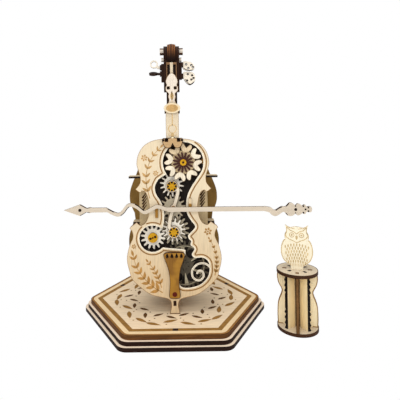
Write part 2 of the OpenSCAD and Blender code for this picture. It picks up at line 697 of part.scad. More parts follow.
// Blocks on the cheeks that the pegs plug into, by their lower and upper ends
peg_y = neck_back - 4;
block_t = 2.6;
block_half = 3;
left_block = [pegbox_z + 7.6, pegbox_z + 25.8];
right_block = [pegbox_z + 10, pegbox_z + 27.4];
module peg_block(ends) {
    translate([cheek_x, peg_y - block_half, ends[0]]) cube([block_t, 2 * block_half, ends[1] - ends[0]]);
}
module pegbox_cheeks() {
    color("#3c2415") for (s = [0, 1]) mirror([s, 0, 0]) {
        pegbox_layer(strips_half + fit, cheek_t - fit, volute_r - 2.4, cheek_part);
        sideways(strips_half + fit, neck_side_t) polygon([[neck_back, pegbox_z], [neck_back, neck_side_z],
            [front_y0, neck_side_z], [front_y0, pegbox_z]]);
        peg_block(s == 0 ? right_block : left_block);
    }
}
// The frame in front of the strips ends just under the scroll
frame_half = strips_half + 1;
frame_z0 = pegbox_z + 2;
frame_z1 = scroll_c[1] - sqrt(pow(volute_r, 2) - pow(scroll_c[0] - front_y1, 2)) - 0.3;
frame_bar = 0.8;
frame_slot = 2.9;
module pegbox_front() {
    color(golden) facing(front_y0) difference() {
        translate([-frame_half, frame_z0]) square([2 * frame_half, frame_z1 - frame_z0]);
        for (s = [0, 1]) mirror([s, 0])
            translate([frame_half - frame_bar - frame_slot, frame_z0 + 6])
                square([frame_slot, frame_z1 - 2.2 - frame_z0 - 6]);
    }
}
// A knob on each side of the scroll, and a smaller one below it
eye_z = scroll_c[1] + 2.2;
eye_r = 3.5;
eye_l = 3.8;
eye_drop = 8.2;
small_eye_r = 2.1;
small_eye_l = 2.4;
module scroll_eyes() {
    color(brown) for (s = [0, 1])
        mirror([s, 0, 0]) translate([cheek_x, scroll_c[0], eye_z]) rotate([0, 90, 0]) {
            cylinder(h = eye_l, r = eye_r);
            translate([eye_drop, 0, 0]) cylinder(h = small_eye_l, r = small_eye_r);
        }
}
medallion_z = pegbox_z - 19.5;
board_z0 = neck_foot_z + 1;
board_hole = 2.7;
module fingerboard() {
    half = concat([[0, board_z0], [6, board_z0]],
        curve([[6.3, board_z0 + 1], [6.4, board_z0 + 12], [6.4, medallion_z - 8], [5.6, medallion_z],
               [3.6, medallion_z + 5.6], [2.9, medallion_z + 8.4], [3.7, medallion_z + 11.6],
               [3.2, pegbox_z - 5], [5.9, pegbox_z - 2], [6.1, pegbox_z + 1.6],
               [5, pegbox_z + 3.6], [6, pegbox_z + 6.6], [5, pegbox_z + 10.6],
               [2.4, pegbox_z + 14.4], [0, pegbox_z + 15.8]]));
    color(pale) facing(proud_y0) difference() {
        polygon(both_halves(half));
        for (s = [-1, 1]) at([s * 3.45 - board_hole / 2, pegbox_z - 0.6]) square(board_hole);
    }
}
collar_half = 7.6;
module neck_collar() {
    color(pale) translate([0, 0, medallion_z - 5]) linear_extrude(3) difference() {
        union() {
            translate([0, neck_back - 4]) circle(collar_half);
            translate([-collar_half, front_y0]) square([2 * collar_half, neck_back - 4 - front_y0]);
        }
        translate([-strips_half - fit, front_y0 - 3])
            square([2 * strips_half + 2 * fit, neck_back - front_y0 + 3 + fit]);
    }
}
medallion_half = [8.2, 5.2];
module neck_medallion() {
    color("#dcb884") facing(proud_y0 - sheet) at([0, medallion_z])
        polygon([for (a = [0 : 10 : 350]) [medallion_half[0] * cos(a), medallion_half[1] * sin(a)]]);
}
// The bracket's two lobes hang below the fingerboard's foot
bracket_z = board_z0 + 2.4;
slot_size = [2.6, 0.9];
module neck_bracket() {
    half = concat(curve([[0, bracket_z - 5.6], [1.8, bracket_z - 8], [5, bracket_z - 9],
        [8.2, bracket_z - 7.4], [9.9, bracket_z - 3.6], [10.5, bracket_z - 0.4], [9.4, bracket_z + 1.2]]),
        [[3, bracket_z + 1.2], [0, bracket_z + 2.6]]);
    color("#a9743d") facing(proud_y0 - sheet) difference() {
        polygon(both_halves(half));
        for (s = [-1, 1], k = [0, 1.6]) at([s * 6, bracket_z - 1.6 + k] - slot_size / 2) square(slot_size);
        for (s = [-1, 1]) at([s * 9.2, bracket_z - 1]) circle(0.7);
    }
}
// Pegs: flat heads on collars that plug into the blocks, each turned about its own axis
collar_r = 2.8;
collar_l = 4;
peg_hole = 0.6;
module peg(s, z, turn) {
    mirror([s < 0 ? 1 : 0, 0, 0]) translate([cheek_x, peg_y, z]) rotate([turn, 0, 0]) {
        translate([block_t, 0, 0]) rotate([0, 90, 0]) cylinder(h = collar_l - block_t, r = collar_r);
        children();
    }
}
module ring_head(c, r, hole) {
    difference() {
        union() {
            facing(-sheet / 2) polygon(ribbon([[collar_l - 0.5, 0], [collar_l + 1.5, 0], c], 2.6));
            rod(c, -sheet / 2, sheet / 2, r);
        }
        rod(c, -sheet, sheet, hole);
    }
}
module plate_head(edge, holes) {
    facing(-sheet / 2) difference() {
        polygon(closed_curve(edge));
        for (p = holes) at(p) circle(peg_hole);
    }
}
module left_pegs() {
    color(pale) {
        peg(-1, pegbox_z + 22.4, 0) ring_head([10, 3.4], 4, 2.7);
        peg(-1, pegbox_z + 16, -66) ring_head([10.8, 0.6], 4.3, 2.4);
    }
}
module right_pegs() {
    color(pale) {
        peg(1, pegbox_z + 25, -4) plate_head([[collar_l - 0.2, 2.6], [7, 3.4], [12.6, 2], [15.6, -2.4],
            [13.8, -5.6], [8, -6], [collar_l - 0.2, -3.8]],
            [[7.1, 0.3], [12.4, -0.6], [9.2, -3.6], [14, -2.8]]);
        peg(1, pegbox_z + 13.4, -18) plate_head([[collar_l - 0.2, 3.2], [7.4, 4.6], [13.8, 3.6],
            [16.2, -1.4], [14.6, -7], [9.8, -9.6], [collar_l + 0.8, -4]],
            [[8.8, 1.8], [13, 0.4], [7.8, -5.2], [12.2, -4.2], [14.4, -2.6]]);
    }
}

// Stool: two round plates with eight upright fins, and an owl standing on it
stool_sheet = 3;
stool_r = stool_d / 2;
fin_in = 4.5;
tenon_w = 4;
module on_stool() {
    translate([stool_x, stool_y, 0]) rotate(stool_turn) children();
}
module fin_places(first) {
    for (i = [0 : 3]) rotate(90 * i + first) children();
}
module stool_plates() {
    color(pale) on_stool() for (z = [0, stool_h - stool_sheet])
        translate([0, 0, z]) linear_extrude(stool_sheet) difference() {
            circle(stool_r);
            fin_places(0) translate([10 - fit, -stool_sheet / 2 - fit])
                square([tenon_w + 2 * fit, stool_sheet + 2 * fit]);
            fin_places(45) translate([8 - fit, -stool_sheet / 2 - fit])
                square([tenon_w + 2 * fit, stool_sheet + 2 * fit]);
            if (z > 0) translate([-owl_tab / 2 - fit, -owl_t / 2 - fit])
                square([owl_tab + 2 * fit, owl_t + 2 * fit]);
        }
    color(pale) on_stool() translate([0, 0, stool_sheet])
        cylinder(h = stool_h - 2 * stool_sheet, r = fin_in - 0.1);
}
module fin(edge, tenon_x) {
    rotate([90, 0, 0]) translate([0, 0, -stool_sheet / 2]) linear_extrude(stool_sheet) union() {
        polygon(concat([[fin_in, stool_h - stool_sheet], [fin_in, stool_sheet]], edge));
        for (z = [0, stool_h - stool_sheet]) translate([tenon_x, z]) square([tenon_w, stool_sheet]);
    }
}
module stool_side_fins() {
    edge = curve([[stool_r - 0.8, stool_sheet], [stool_r - 0.4, stool_h * 0.2],
        [stool_r - 0.8, stool_h * 0.38], [stool_r - 2.2, stool_h * 0.48], [stool_r - 4, stool_h * 0.56],
        [stool_r - 4.8, stool_h * 0.63], [stool_r - 3.4, stool_h * 0.69],
        [stool_r - 1.4, stool_h * 0.76], [stool_r - 0.4, stool_h * 0.86], [stool_r - 0.8, stool_h - stool_sheet]], 3);
    color(pale) on_stool() fin_places(0) fin(edge, 10);
}
module stool_diagonal_fins() {
    // Wavy above and below a straight middle stretch
    waves = 10;
    wave_depth = 0.7;
    straight = 0.3;
    span = stool_h - 2 * stool_sheet;
    edge = [for (i = [0 : waves * 6])
        let (t = i / (waves * 6), swing = abs(2 * t - 1) > straight ? wave_depth * cos(60 * i) : 0)
        [stool_r - 4.6 + swing, stool_sheet + span * t]];
    color(pale) on_stool() fin_places(45) fin(edge, 8);
}
owl_t = sheet;
owl_tab = 10;
module owl() {
    half = concat([[0, 0], [5.6, 0], [6, 3]],
        curve([[8, 4.6], [12.4, 8], [14.9, 14.5], [14.9, 21], [13.2, 26.4], [11, 28.6]]),
        curve([[11.3, 30], [11.3, 33.4], [9.8, 36.4], [9.8, 38.6]]), [[10.8, owl_h]],
        curve([[9, owl_h - 1.4], [6.2, owl_h - 2.6], [3, owl_h - 2], [0, owl_h - 1.6]]));
    color("#efe0bd") on_stool() translate([0, -owl_t / 2, stool_h]) facing(0, owl_t) union() {
        polygon(both_halves(half));
        translate([-owl_tab / 2, -stool_sheet]) square([owl_tab, stool_sheet + 0.1]);
    }
}

base_bottom_plate();
base_middle_plate();
base_top_plate();
base_keys();
foot_keel();
front_plate();
bearing_plate();
back_plate();
upper_shelf();
lower_shelf();
body_posts();
tailpiece();
tailpiece_pin();
bow_rests();
gear_axles();
idler_axle();
axle_spacers();
crank_gear_lower();
driven_wheel();
crank_disc_lower();
cap_lower();
crank_gear_upper();
crank_disc_upper();
cap_upper();
idler_gear();
side_gear();
side_cap();
flower_gear();
flower_petals();
flower_daisy();
flower_hub();
bow_link();
bow_post();
bow();
drive_gear();
drive_cap();
drive_arbor();
spring_barrel();
winding_key();
movement_bedplate();
movement_screws();
comb();
comb_screws();
music_cylinder();
governor_fly();
neck_core();
scroll_strips();
pegbox_cheeks();
pegbox_front();
scroll_eyes();
fingerboard();
neck_collar();
neck_medallion();
neck_bracket();
left_pegs();
right_pegs();
stool_plates();
stool_side_fins();
stool_diagonal_fins();
owl();
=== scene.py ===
from math import atan2, ceil, cos, degrees, pi, radians, sin

import bmesh
import bpy
import numpy as np
from mathutils import Matrix, Vector


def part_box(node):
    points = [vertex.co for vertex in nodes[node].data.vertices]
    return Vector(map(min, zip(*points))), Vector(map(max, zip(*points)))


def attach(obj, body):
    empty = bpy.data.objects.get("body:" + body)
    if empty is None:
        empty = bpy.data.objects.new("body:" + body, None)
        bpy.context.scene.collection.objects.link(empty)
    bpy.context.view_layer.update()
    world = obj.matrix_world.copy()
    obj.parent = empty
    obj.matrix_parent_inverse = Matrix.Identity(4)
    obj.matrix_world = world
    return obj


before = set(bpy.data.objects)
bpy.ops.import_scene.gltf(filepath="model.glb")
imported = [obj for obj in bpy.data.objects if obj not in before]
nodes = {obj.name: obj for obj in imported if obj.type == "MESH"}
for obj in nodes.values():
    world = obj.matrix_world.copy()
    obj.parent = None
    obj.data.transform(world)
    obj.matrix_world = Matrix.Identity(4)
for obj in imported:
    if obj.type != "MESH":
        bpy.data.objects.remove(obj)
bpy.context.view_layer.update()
scene = bpy.context.scene

# Camera
# The view is level, from the front and a little above the body, and the lens
# is shifted so that the base and the scroll both stand in the frame.
MM = 0.001
frame_px = 400
focal_px = 395
stand_off = 434
eye_height = 195.5
lean = 0.85
axis_px = Vector((172.4, 130))
lens = bpy.data.cameras.new("camera")
lens.sensor_width = 36
lens.lens = lens.sensor_width * focal_px / frame_px
lens.shift_x = 0.5 - axis_px.x / frame_px
lens.shift_y = axis_px.y / frame_px - 0.5
camera = bpy.data.objects.new("camera", lens)
camera.location = (0, -stand_off * MM, eye_height * MM)
camera.rotation_euler = (radians(90), radians(lean), 0)
scene.collection.objects.link(camera)
scene.camera = camera

# Base
# Three stacked plates of thick plywood with rounded corners, cut by laser, so
# that their edges are scorched. The lower two are dark at the edge, the top
# one golden, and dark keys pass through the stack.
paint_soft = 0.1 * MM
fibre_run = 70
fibre_fine = 1100
layer_run = 60
layer_fine = 1500


def srgb(red, green, blue):
    """A colour as it looks on a screen, in linear light."""
    scaled = [c / 255 for c in (red, green, blue)]
    return tuple(c / 12.92 if c <= 0.04045 else ((c + 0.055) / 1.055) ** 2.4 for c in scaled)


def shade(colour, amount):
    """The colour made lighter or darker."""
    return tuple(c * amount for c in colour)


class Tone:
    """A socket in a finish that takes part in plain arithmetic."""

    def __init__(self, tree, socket=None):
        self.tree = tree
        self.socket = socket

    def into(self, node, name):
        """Feeds one input of a node."""
        self.tree.links.new(self.socket, node.inputs[name])

    def node(self, kind, settings, inputs, output=0):
        """Any node, with its settings first and then its inputs."""
        made = self.tree.nodes.new(kind)
        for name, value in settings.items():
            setattr(made, name, value)
        for name, value in inputs.items():
            if isinstance(value, Tone):
                value.into(made, name)
            elif made.inputs[name].type == "RGBA":
                made.inputs[name].default_value = (*value, 1)
            else:
                made.inputs[name].default_value = value
        return Tone(self.tree, made.outputs[output])

    def math(self, operation, *values):
        """A Math node on this value."""
        return self.node("ShaderNodeMath", {"operation": operation}, dict(enumerate((self, *values))))

    def vector(self, operation, *values, output=0):
        """A Vector Math node on this vector."""
        inputs = dict(enumerate((self, *values)))
        return self.node("ShaderNodeVectorMath", {"operation": operation}, inputs, output)

    def __add__(self, other):
        return self.math("ADD", other)

    __radd__ = __add__

    def __sub__(self, other):
        return self.math("SUBTRACT", other)

    def __rsub__(self, other):
        return self.node("ShaderNodeMath", {"operation": "SUBTRACT"}, {0: other, 1: self})

    def __mul__(self, other):
        return self.math("MULTIPLY", other)

    __rmul__ = __mul__

    def __abs__(self):
        return self.math("ABSOLUTE")

    def larger(self, other):
        return self.math("MAXIMUM", other)

    def smaller(self, other):
        return self.math("MINIMUM", other)

    def rise(self, low, high):
        """0 below low, 1 above high, and a smooth step between them."""
        return self.node("ShaderNodeMapRange", {"interpolation_type": "SMOOTHSTEP"},
                         {"Value": self, "From Min": low, "From Max": high})

    def beyond(self, limit, soft=paint_soft):
        """0 up to a limit and 1 past it."""
        return self.rise(limit, limit + soft)

    def within(self, limit, soft=paint_soft):
        """1 up to a limit and 0 past it."""
        return 1 - self.beyond(limit, soft)

    def stretched(self, factors):
        return self.vector("MULTIPLY", factors)

    def along(self, direction):
        """How far a vector reaches in a direction."""
        return self.vector("DOT_PRODUCT", direction, output="Value")

    def noise(self, scale, detail=3):
        return self.node("ShaderNodeTexNoise", {}, {"Vector": self, "Scale": scale, "Detail": detail})

    def blend(self, low, high):
        """From the low colour at 0 to the high one at 1."""
        return self.node("ShaderNodeMix", {"data_type": "RGBA"}, {0: self, 6: low, 7: high}, 2)

    def mottle(self, colour, dark, light, low=0.3, high=0.7):
        """A colour made darker where this is low and lighter where it is high."""
        return self.rise(low, high).blend(shade(colour, dark), shade(colour, light))


def blank_finish(name):
    """A new material, its shader, and the spot on the piece as a Tone."""
    finish = bpy.data.materials.new(name)
    finish.use_nodes = True
    shader = finish.node_tree.nodes["Principled BSDF"]
    shader.inputs["Specular IOR Level"].default_value = 0.12
    spot = Tone(finish.node_tree).node("ShaderNodeTexCoord", {}, {}, "Object")
    return finish, shader, spot


def grain(spot, along):
    """Fine fibres that run in one direction."""
    return spot.stretched([fibre_run if a else fibre_fine for a in along]).noise(1, 4)


def plywood(name, face, edge, across, along, patch=None):
    """A plywood sheet: grained faces, and cut edges scorched in thin layers.

    patch may give a mask and a second face colour from the spot on the sheet.
    """
    finish, shader, spot = blank_finish(name)
    normal = spot.node("ShaderNodeNewGeometry", {}, {}, "True Normal")
    on_face = abs(normal.along(across)).rise(0.5, 0.8)
    fibres = grain(spot, along)
    clouds = spot.noise(45, 2)
    wood = (0.6 * fibres + 0.4 * clouds).mottle(face, 0.91, 1.04, 0.3, 0.72)
    if patch:
        mask, second = patch(spot)
        wood = mask.blend(wood, fibres.mottle(second, 0.86, 1.06))
    layers = spot.stretched([layer_fine if a else layer_run for a in across]).noise(1, 3)
    burnt_and_shaded = layers.mottle(edge, 0.55, 1.35, 0.35, 0.75)
    on_face.blend(burnt_and_shaded, wood).into(shader, "Base Color")
    (0.72 - 0.14 * fibres).into(shader, "Roughness")
    relief = spot.node("ShaderNodeBump", {}, {"Strength": 0.12, "Distance": 0.0001, "Height": fibres})
    relief.into(shader, "Normal")
    return finish


def coat(finish, *names):
    """Gives CAD pieces their finish."""
    for name in names:
        for slot in nodes[name].material_slots:
            slot.material = finish


UP = (0, 0, 1)
FRONT = (0, 1, 0)
SIDE = (1, 0, 0)
char = srgb(52, 29, 16)
gold = srgb(182, 134, 68)

base_low, base_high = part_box("base_top_plate")
base_top = base_high.z / MM
base_apothem = (base_high.y - base_low.y) / 2
border_w = 7.6 * MM
band_w = 4.6 * MM
band_in = base_apothem - border_w - band_w


def hexagon_reach(spot):
    """How far a spot on the base lies from its middle, square to the nearest side."""
    sides = [abs(spot.along((cos(a), sin(a), 0))) for a in (radians(30), radians(90), radians(150))]
    return sides[0].larger(sides[1]).larger(sides[2])


def base_field(spot):
    """The lighter field inside the golden band."""
    return hexagon_reach(spot).within(band_in - paint_soft), srgb(236, 212, 178)


coat(plywood("base_top_wood", srgb(234, 206, 162), srgb(104, 66, 32), UP, SIDE, base_field),
     "base_top_plate")
coat(plywood("base_ledge_wood", srgb(240, 218, 192), srgb(38, 17, 8), UP, SIDE),
     "base_middle_plate", "base_bottom_plate")
coat(plywood("key_wood", srgb(54, 30, 18), char, SIDE, UP), "base_keys")

# Engraving of the base
# The laser also draws on the top plate: a golden band inside the edge, mitred
# at the corners, and a garland of small leaves. Lines are thin closed slabs.
line_proud = 0.05
line_sunk = 0.08
over_lines = 0.03
fill_core = 0.02
same_level = 0.001


def heading_of(run):
    return degrees(atan2(run.y, run.x))


def towards(heading, length=1):
    """A step on a face, heading in degrees."""
    return Vector((cos(radians(heading)), sin(radians(heading)))) * length


def circle(at, radius, count=18):
    return [Vector(at) + towards(360 * i / count, radius) for i in range(count)]


def smooth(points, steps=6):
    """A rounded line through given points."""
    last = len(points) - 1
    made = []
    for i in range(last):
        a, b, c, d = (Vector(points[min(max(i + k, 0), last)]) for k in (-1, 0, 1, 2))
        for step in range(steps):
            t = step / steps
            made.append(0.5 * (2 * b + (c - a) * t + (2 * a - 5 * b + 4 * c - d) * t * t
                               + (3 * b - a - 3 * c + d) * t * t * t))
    return made + [Vector(points[-1])]


class Engraving:
    """A drawing on one face, made of thin closed slabs let into it.

    place turns a spot on the face and a height above it, in millimetres, into a point.
    A drawing that crosses other lines has a lift, so that no two tops lie in one plane.
    """

    def __init__(self, place, lift=0):
        self.place = place
        self.lift = lift
        self.shape = bmesh.new()

    def row(self, line, height):
        spots = [self.place(p[0], p[1], height + self.lift) for p in line]
        return [self.shape.verts.new(Vector(spot) * MM) for spot in spots]

    def strip(self, one, other, closed):
        """A slab between two lines of as many points each."""
        rows = [self.row(one, line_proud), self.row(other, line_proud),
                self.row(other, -line_sunk), self.row(one, -line_sunk)]
        for a, b in zip(rows, rows[1:] + rows[:1]):
            for i in range(0 if closed else 1, len(a)):
                self.shape.faces.new((a[i - 1], a[i], b[i], b[i - 1]))
        if not closed:
            self.shape.faces.new([r[0] for r in rows])
            self.shape.faces.new([r[-1] for r in rows])

    def fill(self, outline):
        """A filled shape without hollows in its outline."""
        middle = sum((Vector(p) for p in outline), Vector((0, 0))) / len(outline)
        self.strip(outline, [middle.lerp(Vector(p), fill_core) for p in outline], True)
        return self

    def stroke(self, points, width, taper=1.0):
        """A line that narrows to a share of its width."""
        points = [Vector(p) for p in points]
        last = len(points) - 1
        left, right = [], []
        for i, p in enumerate(points):
            run = (points[min(i + 1, last)] - points[max(i - 1, 0)]).normalized()
            half = Vector((-run.y, run.x)) * width / 2 * (1 + (taper - 1) * i / last)
            left.append(p + half)
            right.append(p - half)
        self.strip(left, right, False)
        return self

    def ring(self, inner, outer):
        self.strip(inner, outer, True)
        return self

    def leaf(self, at, heading, length, width, steps=8, blunt=0.06, belly=0.8):
        """A leaf from its stalk, a little blunt at both ends, with its belly below the middle."""
        across = towards(heading + 90, width / 2)
        spine = [Vector(at) + towards(heading, length * i / steps) for i in range(steps + 1)]
        swell = [blunt + sin(pi * (i / steps) ** belly) for i in range(steps + 1)]
        self.strip([p + across * w for p, w in zip(spine, swell)],
                   [p - across * w for p, w in zip(spine, swell)], False)
        return self

    def spray(self, route, leaf_length, leaf_width, pairs, spread=42):
        """A stem with leaves in pairs, smaller and smaller, and one at its end."""
        stem_w = 0.9
        stem_taper = 0.45
        end_gap = 0.6
        shrink = 0.35
        end_size = 0.7
        line = smooth(route, 8)
        self.stroke(line, stem_w, stem_taper)
        for i in range(1, pairs + 1):
            k = round(i * (len(line) - 2) / (pairs + end_gap))
            size = 1 - shrink * i / pairs
            for side in (-1, 1):
                heading = heading_of(line[k + 1] - line[k - 1]) + side * spread
                self.leaf(line[k], heading, leaf_length * size, leaf_width * size)
        heading = heading_of(line[-1] - line[-2])
        return self.leaf(line[-1], heading, leaf_length * end_size, leaf_width * end_size)

    def blossom(self, at, radius, petals=6):
        """A small flower of pointed petals round a dot."""
        first_heading = 14
        dot_r = radius * 0.2
        petal_from = radius * 0.3
        petal_w = radius * 0.5
        self.fill(circle(at, dot_r))
        for i in range(petals):
            heading = 360 * i / petals + first_heading
            foot = Vector(at) + towards(heading, petal_from)
            self.leaf(foot, heading, radius - petal_from, petal_w)
        return self

    def cut(self, name, finish, body="stand", slot="golden_ply"):
        """Ends the drawing as a piece that rides on a body."""
        bmesh.ops.recalc_face_normals(self.shape, faces=self.shape.faces)
        mesh = bpy.data.meshes.new(name)
        self.shape.to_mesh(mesh)
        self.shape.free()
        piece = bpy.data.objects.new(name, mesh)
        scene.collection.objects.link(piece)
        mesh.materials.append(finish)
        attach(piece, body)


def scorched(name, colour, along=UP):
    """Wood browned by the laser, uneven along the grain. It also gives the tone of painted highlights
    and painted shade.
    """
    finish, shader, spot = blank_finish(name)
    fibres = grain(spot, along)
    patches = spot.noise(160, 2)
    (0.5 * fibres + 0.5 * patches).mottle(colour, 0.78, 1.15, 0.32, 0.68).into(shader, "Base Color")
    (0.85 - 0.1 * fibres).into(shader, "Roughness")
    return finish


def edge_loops(node, level, depth=1, turned=Matrix()):
    """The closed outlines of a sheet's face at one depth, largest first."""
    mesh = nodes[node].data
    plane = [k for k in (0, 1, 2) if k != depth]
    spots = [turned @ (v.co / MM) for v in mesh.vertices]
    key = [tuple(round(p[k], 3) for k in plane) for p in spots]
    uses = {}
    for face in mesh.polygons:
        corners = list(face.vertices)
        if all(abs(spots[v][depth] - level) < same_level for v in corners):
            for a, b in zip(corners, corners[1:] + corners[:1]):
                pair = frozenset((key[a], key[b]))
                uses[pair] = uses.get(pair, 0) + 1
    nearby = {}
    for pair, times in uses.items():
        if times == 1 and len(pair) == 2:
            a, b = pair
            nearby.setdefault(a, []).append(b)
            nearby.setdefault(b, []).append(a)
    loops = []
    while nearby:
        start = min(nearby)
        loop, here, before = [], start, None
        while here in nearby:
            ways = nearby.pop(here)
            loop.append(here)
            here, before = next((w for w in ways if w != before and w in nearby), start), here
        loops.append(loop)
    return sorted(loops, key=lambda loop: -np.ptp(np.array(loop), axis=0).prod())


def even_points(loop, step):
    """A closed outline with points at even steps."""
    points = np.array(loop + loop[:1])
    reach = np.concatenate([[0], np.cumsum(np.linalg.norm(np.diff(points, axis=0), axis=1))])
    at = np.arange(0, reach[-1], step)
    return np.stack([np.interp(at, reach, points[:, k]) for k in (0, 1)], axis=1)


def inset(edge, width, reach=1):
    """A closed outline moved to its inner side, square to the points reach steps away."""
    run = np.roll(edge, -reach, axis=0) - np.roll(edge, reach, axis=0)
    left = np.stack([-run[:, 1], run[:, 0]], axis=1) / np.linalg.norm(run, axis=1)[:, None]
    ahead = np.roll(edge, -1, axis=0)
    area = np.sum(edge[:, 0] * ahead[:, 1] - ahead[:, 0] * edge[:, 1])
    return edge + left * np.sign(area) * width


def on_level(level):
    """Places a drawing on a plate that lies flat."""
    return lambda u, v, height: (u, v, level + height)


def on_sheet(node, x=0, z=0, rear=False):
    """Places a drawing on the front or rear of an upright sheet, from a spot on it."""
    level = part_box(node)[rear].y / MM
    outward = 1 if rear else -1
    return lambda u, v, height: (u + x, level + outward * height, v + z)


def edge_line(node, width, finish, body="stand", step=0.6, rear=False):
    """The brown line that the laser leaves along the edges of a sheet's face."""
    drawing = Engraving(on_sheet(node, rear=rear))
    for rank, loop in enumerate(edge_loops(node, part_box(node)[rear].y / MM)):
        edge = even_points(loop, step)
        drawing.ring(edge, inset(edge, -width if rank else width))
    drawing.cut(node + "_edge_line", finish, body, "brown_ply")


def hexagon_side(side, reach):
    """Both ends of a hexagon's side that lies at a reach from the middle."""
    return [towards(60 * (side + k), reach / cos(pi / 6)) for k in (0, 1)]


on_base = on_level(base_top)
golden_line = scorched("golden_engraving", srgb(146, 106, 52), SIDE)
dark_line = scorched("dark_engraving", srgb(92, 60, 28), SIDE)
# The dark tone of the keys' tops, also used for painted shade at the foot of the body.
key_dark_and_shade = scorched("key_dark_and_shade", srgb(40, 20, 12), SIDE)
band = Engraving(on_base)
key_marks = Engraving(on_base)
key_half = 2.6
for side in range(6):
    inner = hexagon_side(side, band_in / MM)
    outer = hexagon_side(side, (band_in + band_w) / MM)
    if side % 2:
        band.strip(inner, outer, False)
        continue
    along = (inner[1] - inner[0]).normalized() * key_half
    gap = [(line[0] + line[1]) / 2 + along * way for line in (inner, outer) for way in (-1, 1)]
    band.strip([inner[0], gap[0]], [outer[0], gap[2]], False)
    band.strip([gap[1], inner[1]], [gap[3], outer[1]], False)
    key_marks.strip(gap[:2], gap[2:], False)
band.cut("base_band", golden_line)
key_marks.cut("key_marks", key_dark_and_shade, slot="brown_ply")

rim_line = 0.7
rim_band = 2.9
base_edge = even_points(edge_loops("base_top_plate", base_top, 2)[0], 1)
base_rim = inset(base_edge, rim_line)
Engraving(on_base).ring(base_edge, base_rim).cut(
    "base_rim_line", scorched("rim_soot", srgb(62, 36, 18), SIDE), slot="brown_ply")
Engraving(on_base).ring(base_rim, inset(base_edge, rim_band)).cut(
    "base_rim_band", scorched("rim_engraving", srgb(146, 102, 52), SIDE))

# Each row has its reach, the step, length and width of its leaves, their sway and its finish.
first_leaf = 0.3
dot_off = 5
dot_sway = 2.6
dot_r = 0.8
for name, reach, step, length, width, turn, finish in (
        ("outer", 57, 20, 15, 4.4, 20, golden_line),
        ("inner", 44, 16, 11.5, 3.6, -28, dark_line)):
    garland = Engraving(on_base)
    for side in range(6):
        start, end = hexagon_side(side, reach)
        heading = 120 + 60 * side
        count = ceil((end - start).length / step)
        for i in range(count):
            stalk = start.lerp(end, (i + first_leaf) / count)
            sway = turn if i % 2 else -turn
            garland.leaf(stalk, heading + sway, length, width)
            garland.fill(circle(stalk + towards(heading - dot_sway * sway, dot_off), dot_r))
    garland.cut("base_garland_" + name, finish, slot="brown_ply")

# Body
# The cello's body is three upright sheets on a keel: the pale front plate with
# its S-shaped window, a bearing plate behind it, painted dark as shade where the
# gears run, and an olive-brown back. Two shelves tie them together.
gold_below = 40 * MM
gold_fade = 90 * MM
waist_edge = 21.5 * MM
waist_low = 98 * MM
waist_high = 137 * MM
shade_soft = 0.2 * MM


def golden_foot(spot):
    """The front plate is more golden towards its foot."""
    return spot.along(UP).within(gold_below, gold_fade), srgb(226, 200, 160)


def shaded_inside(spot):
    """All of the bearing plate but its sides at the waist, painted dark as shade behind the gears."""
    outside = abs(spot.along(SIDE)).beyond(waist_edge, shade_soft)
    height = spot.along(UP)
    beside = height.beyond(waist_low, shade_soft) * height.within(waist_high, shade_soft)
    return 1 - outside * beside, srgb(44, 38, 34)


def stain_cloud(spot):
    """The olive stain took more deeply in some places."""
    return spot.noise(28, 3).rise(0.4, 0.7), srgb(116, 86, 40)


coat(plywood("front_plate_wood", srgb(238, 219, 186), char, FRONT, UP, golden_foot), "front_plate")
coat(plywood("bearing_plate_wood", srgb(208, 184, 142), char, FRONT, UP, shaded_inside), "bearing_plate")
coat(plywood("back_plate_wood", srgb(142, 109, 55), char, FRONT, UP, stain_cloud), "back_plate")
edge_line("back_plate", 0.6, scorched("back_edge", srgb(64, 40, 20)), rear=True)
coat(plywood("shelf_wood", srgb(206, 186, 152), srgb(40, 26, 18), UP, SIDE),
     "upper_shelf", "lower_shelf")
coat(plywood("keel_wood", gold, char, SIDE, UP), "foot_keel")
coat(plywood("post_wood", gold, srgb(120, 82, 40), FRONT, UP), "body_posts")

# Engraving of the front plate
# A brown line runs along the window a little way from its edge, and leaf
# sprays fill the free parts of the plate.
on_front = on_sheet("front_plate")
front_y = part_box("front_plate")[0].y / MM
plate_edges = [even_points(loop, 0.5) for loop in edge_loops("front_plate", front_y)]
outer_edge, window_edge, *hole_edges = plate_edges
other_edges = np.concatenate([outer_edge, *hole_edges])
border_gap = 2.9
border_slack = 0.15
border_line = 1.25
border_margin = 1.1
longest_jump = 4
fewest_points = 6


def gap_to(points, outline):
    """Each point's distance to an outline."""
    return np.linalg.norm(points[:, None] - outline[None], axis=2).min(axis=1)


def border_runs():
    """The line beside the window, in the stretches that stay on the plate."""
    moved = inset(window_edge, -border_gap, 2)
    on_plate = gap_to(moved, other_edges) > border_margin
    keep = on_plate & (gap_to(moved, window_edge) > border_gap - border_slack)
    runs, current = [], []
    for j in np.roll(np.arange(len(moved)), -int(np.argmin(keep))):
        near = current and np.linalg.norm(moved[j] - current[-1]) < longest_jump
        if keep[j] and (not current or near):
            current.append(moved[j])
        elif keep[j]:
            runs.append(current)
            current = [moved[j]]
        elif current and not on_plate[j]:
            runs.append(current)
            current = []
    return [r for r in runs + [current] if len(r) > fewest_points]


def softened(points):
    """A line with its small kinks averaged out."""
    line = np.array(points)
    for _ in range(3):
        line[1:-1] = (line[:-2] + 2 * line[1:-1] + line[2:]) / 4
    return [Vector(p) for p in line[::2]]


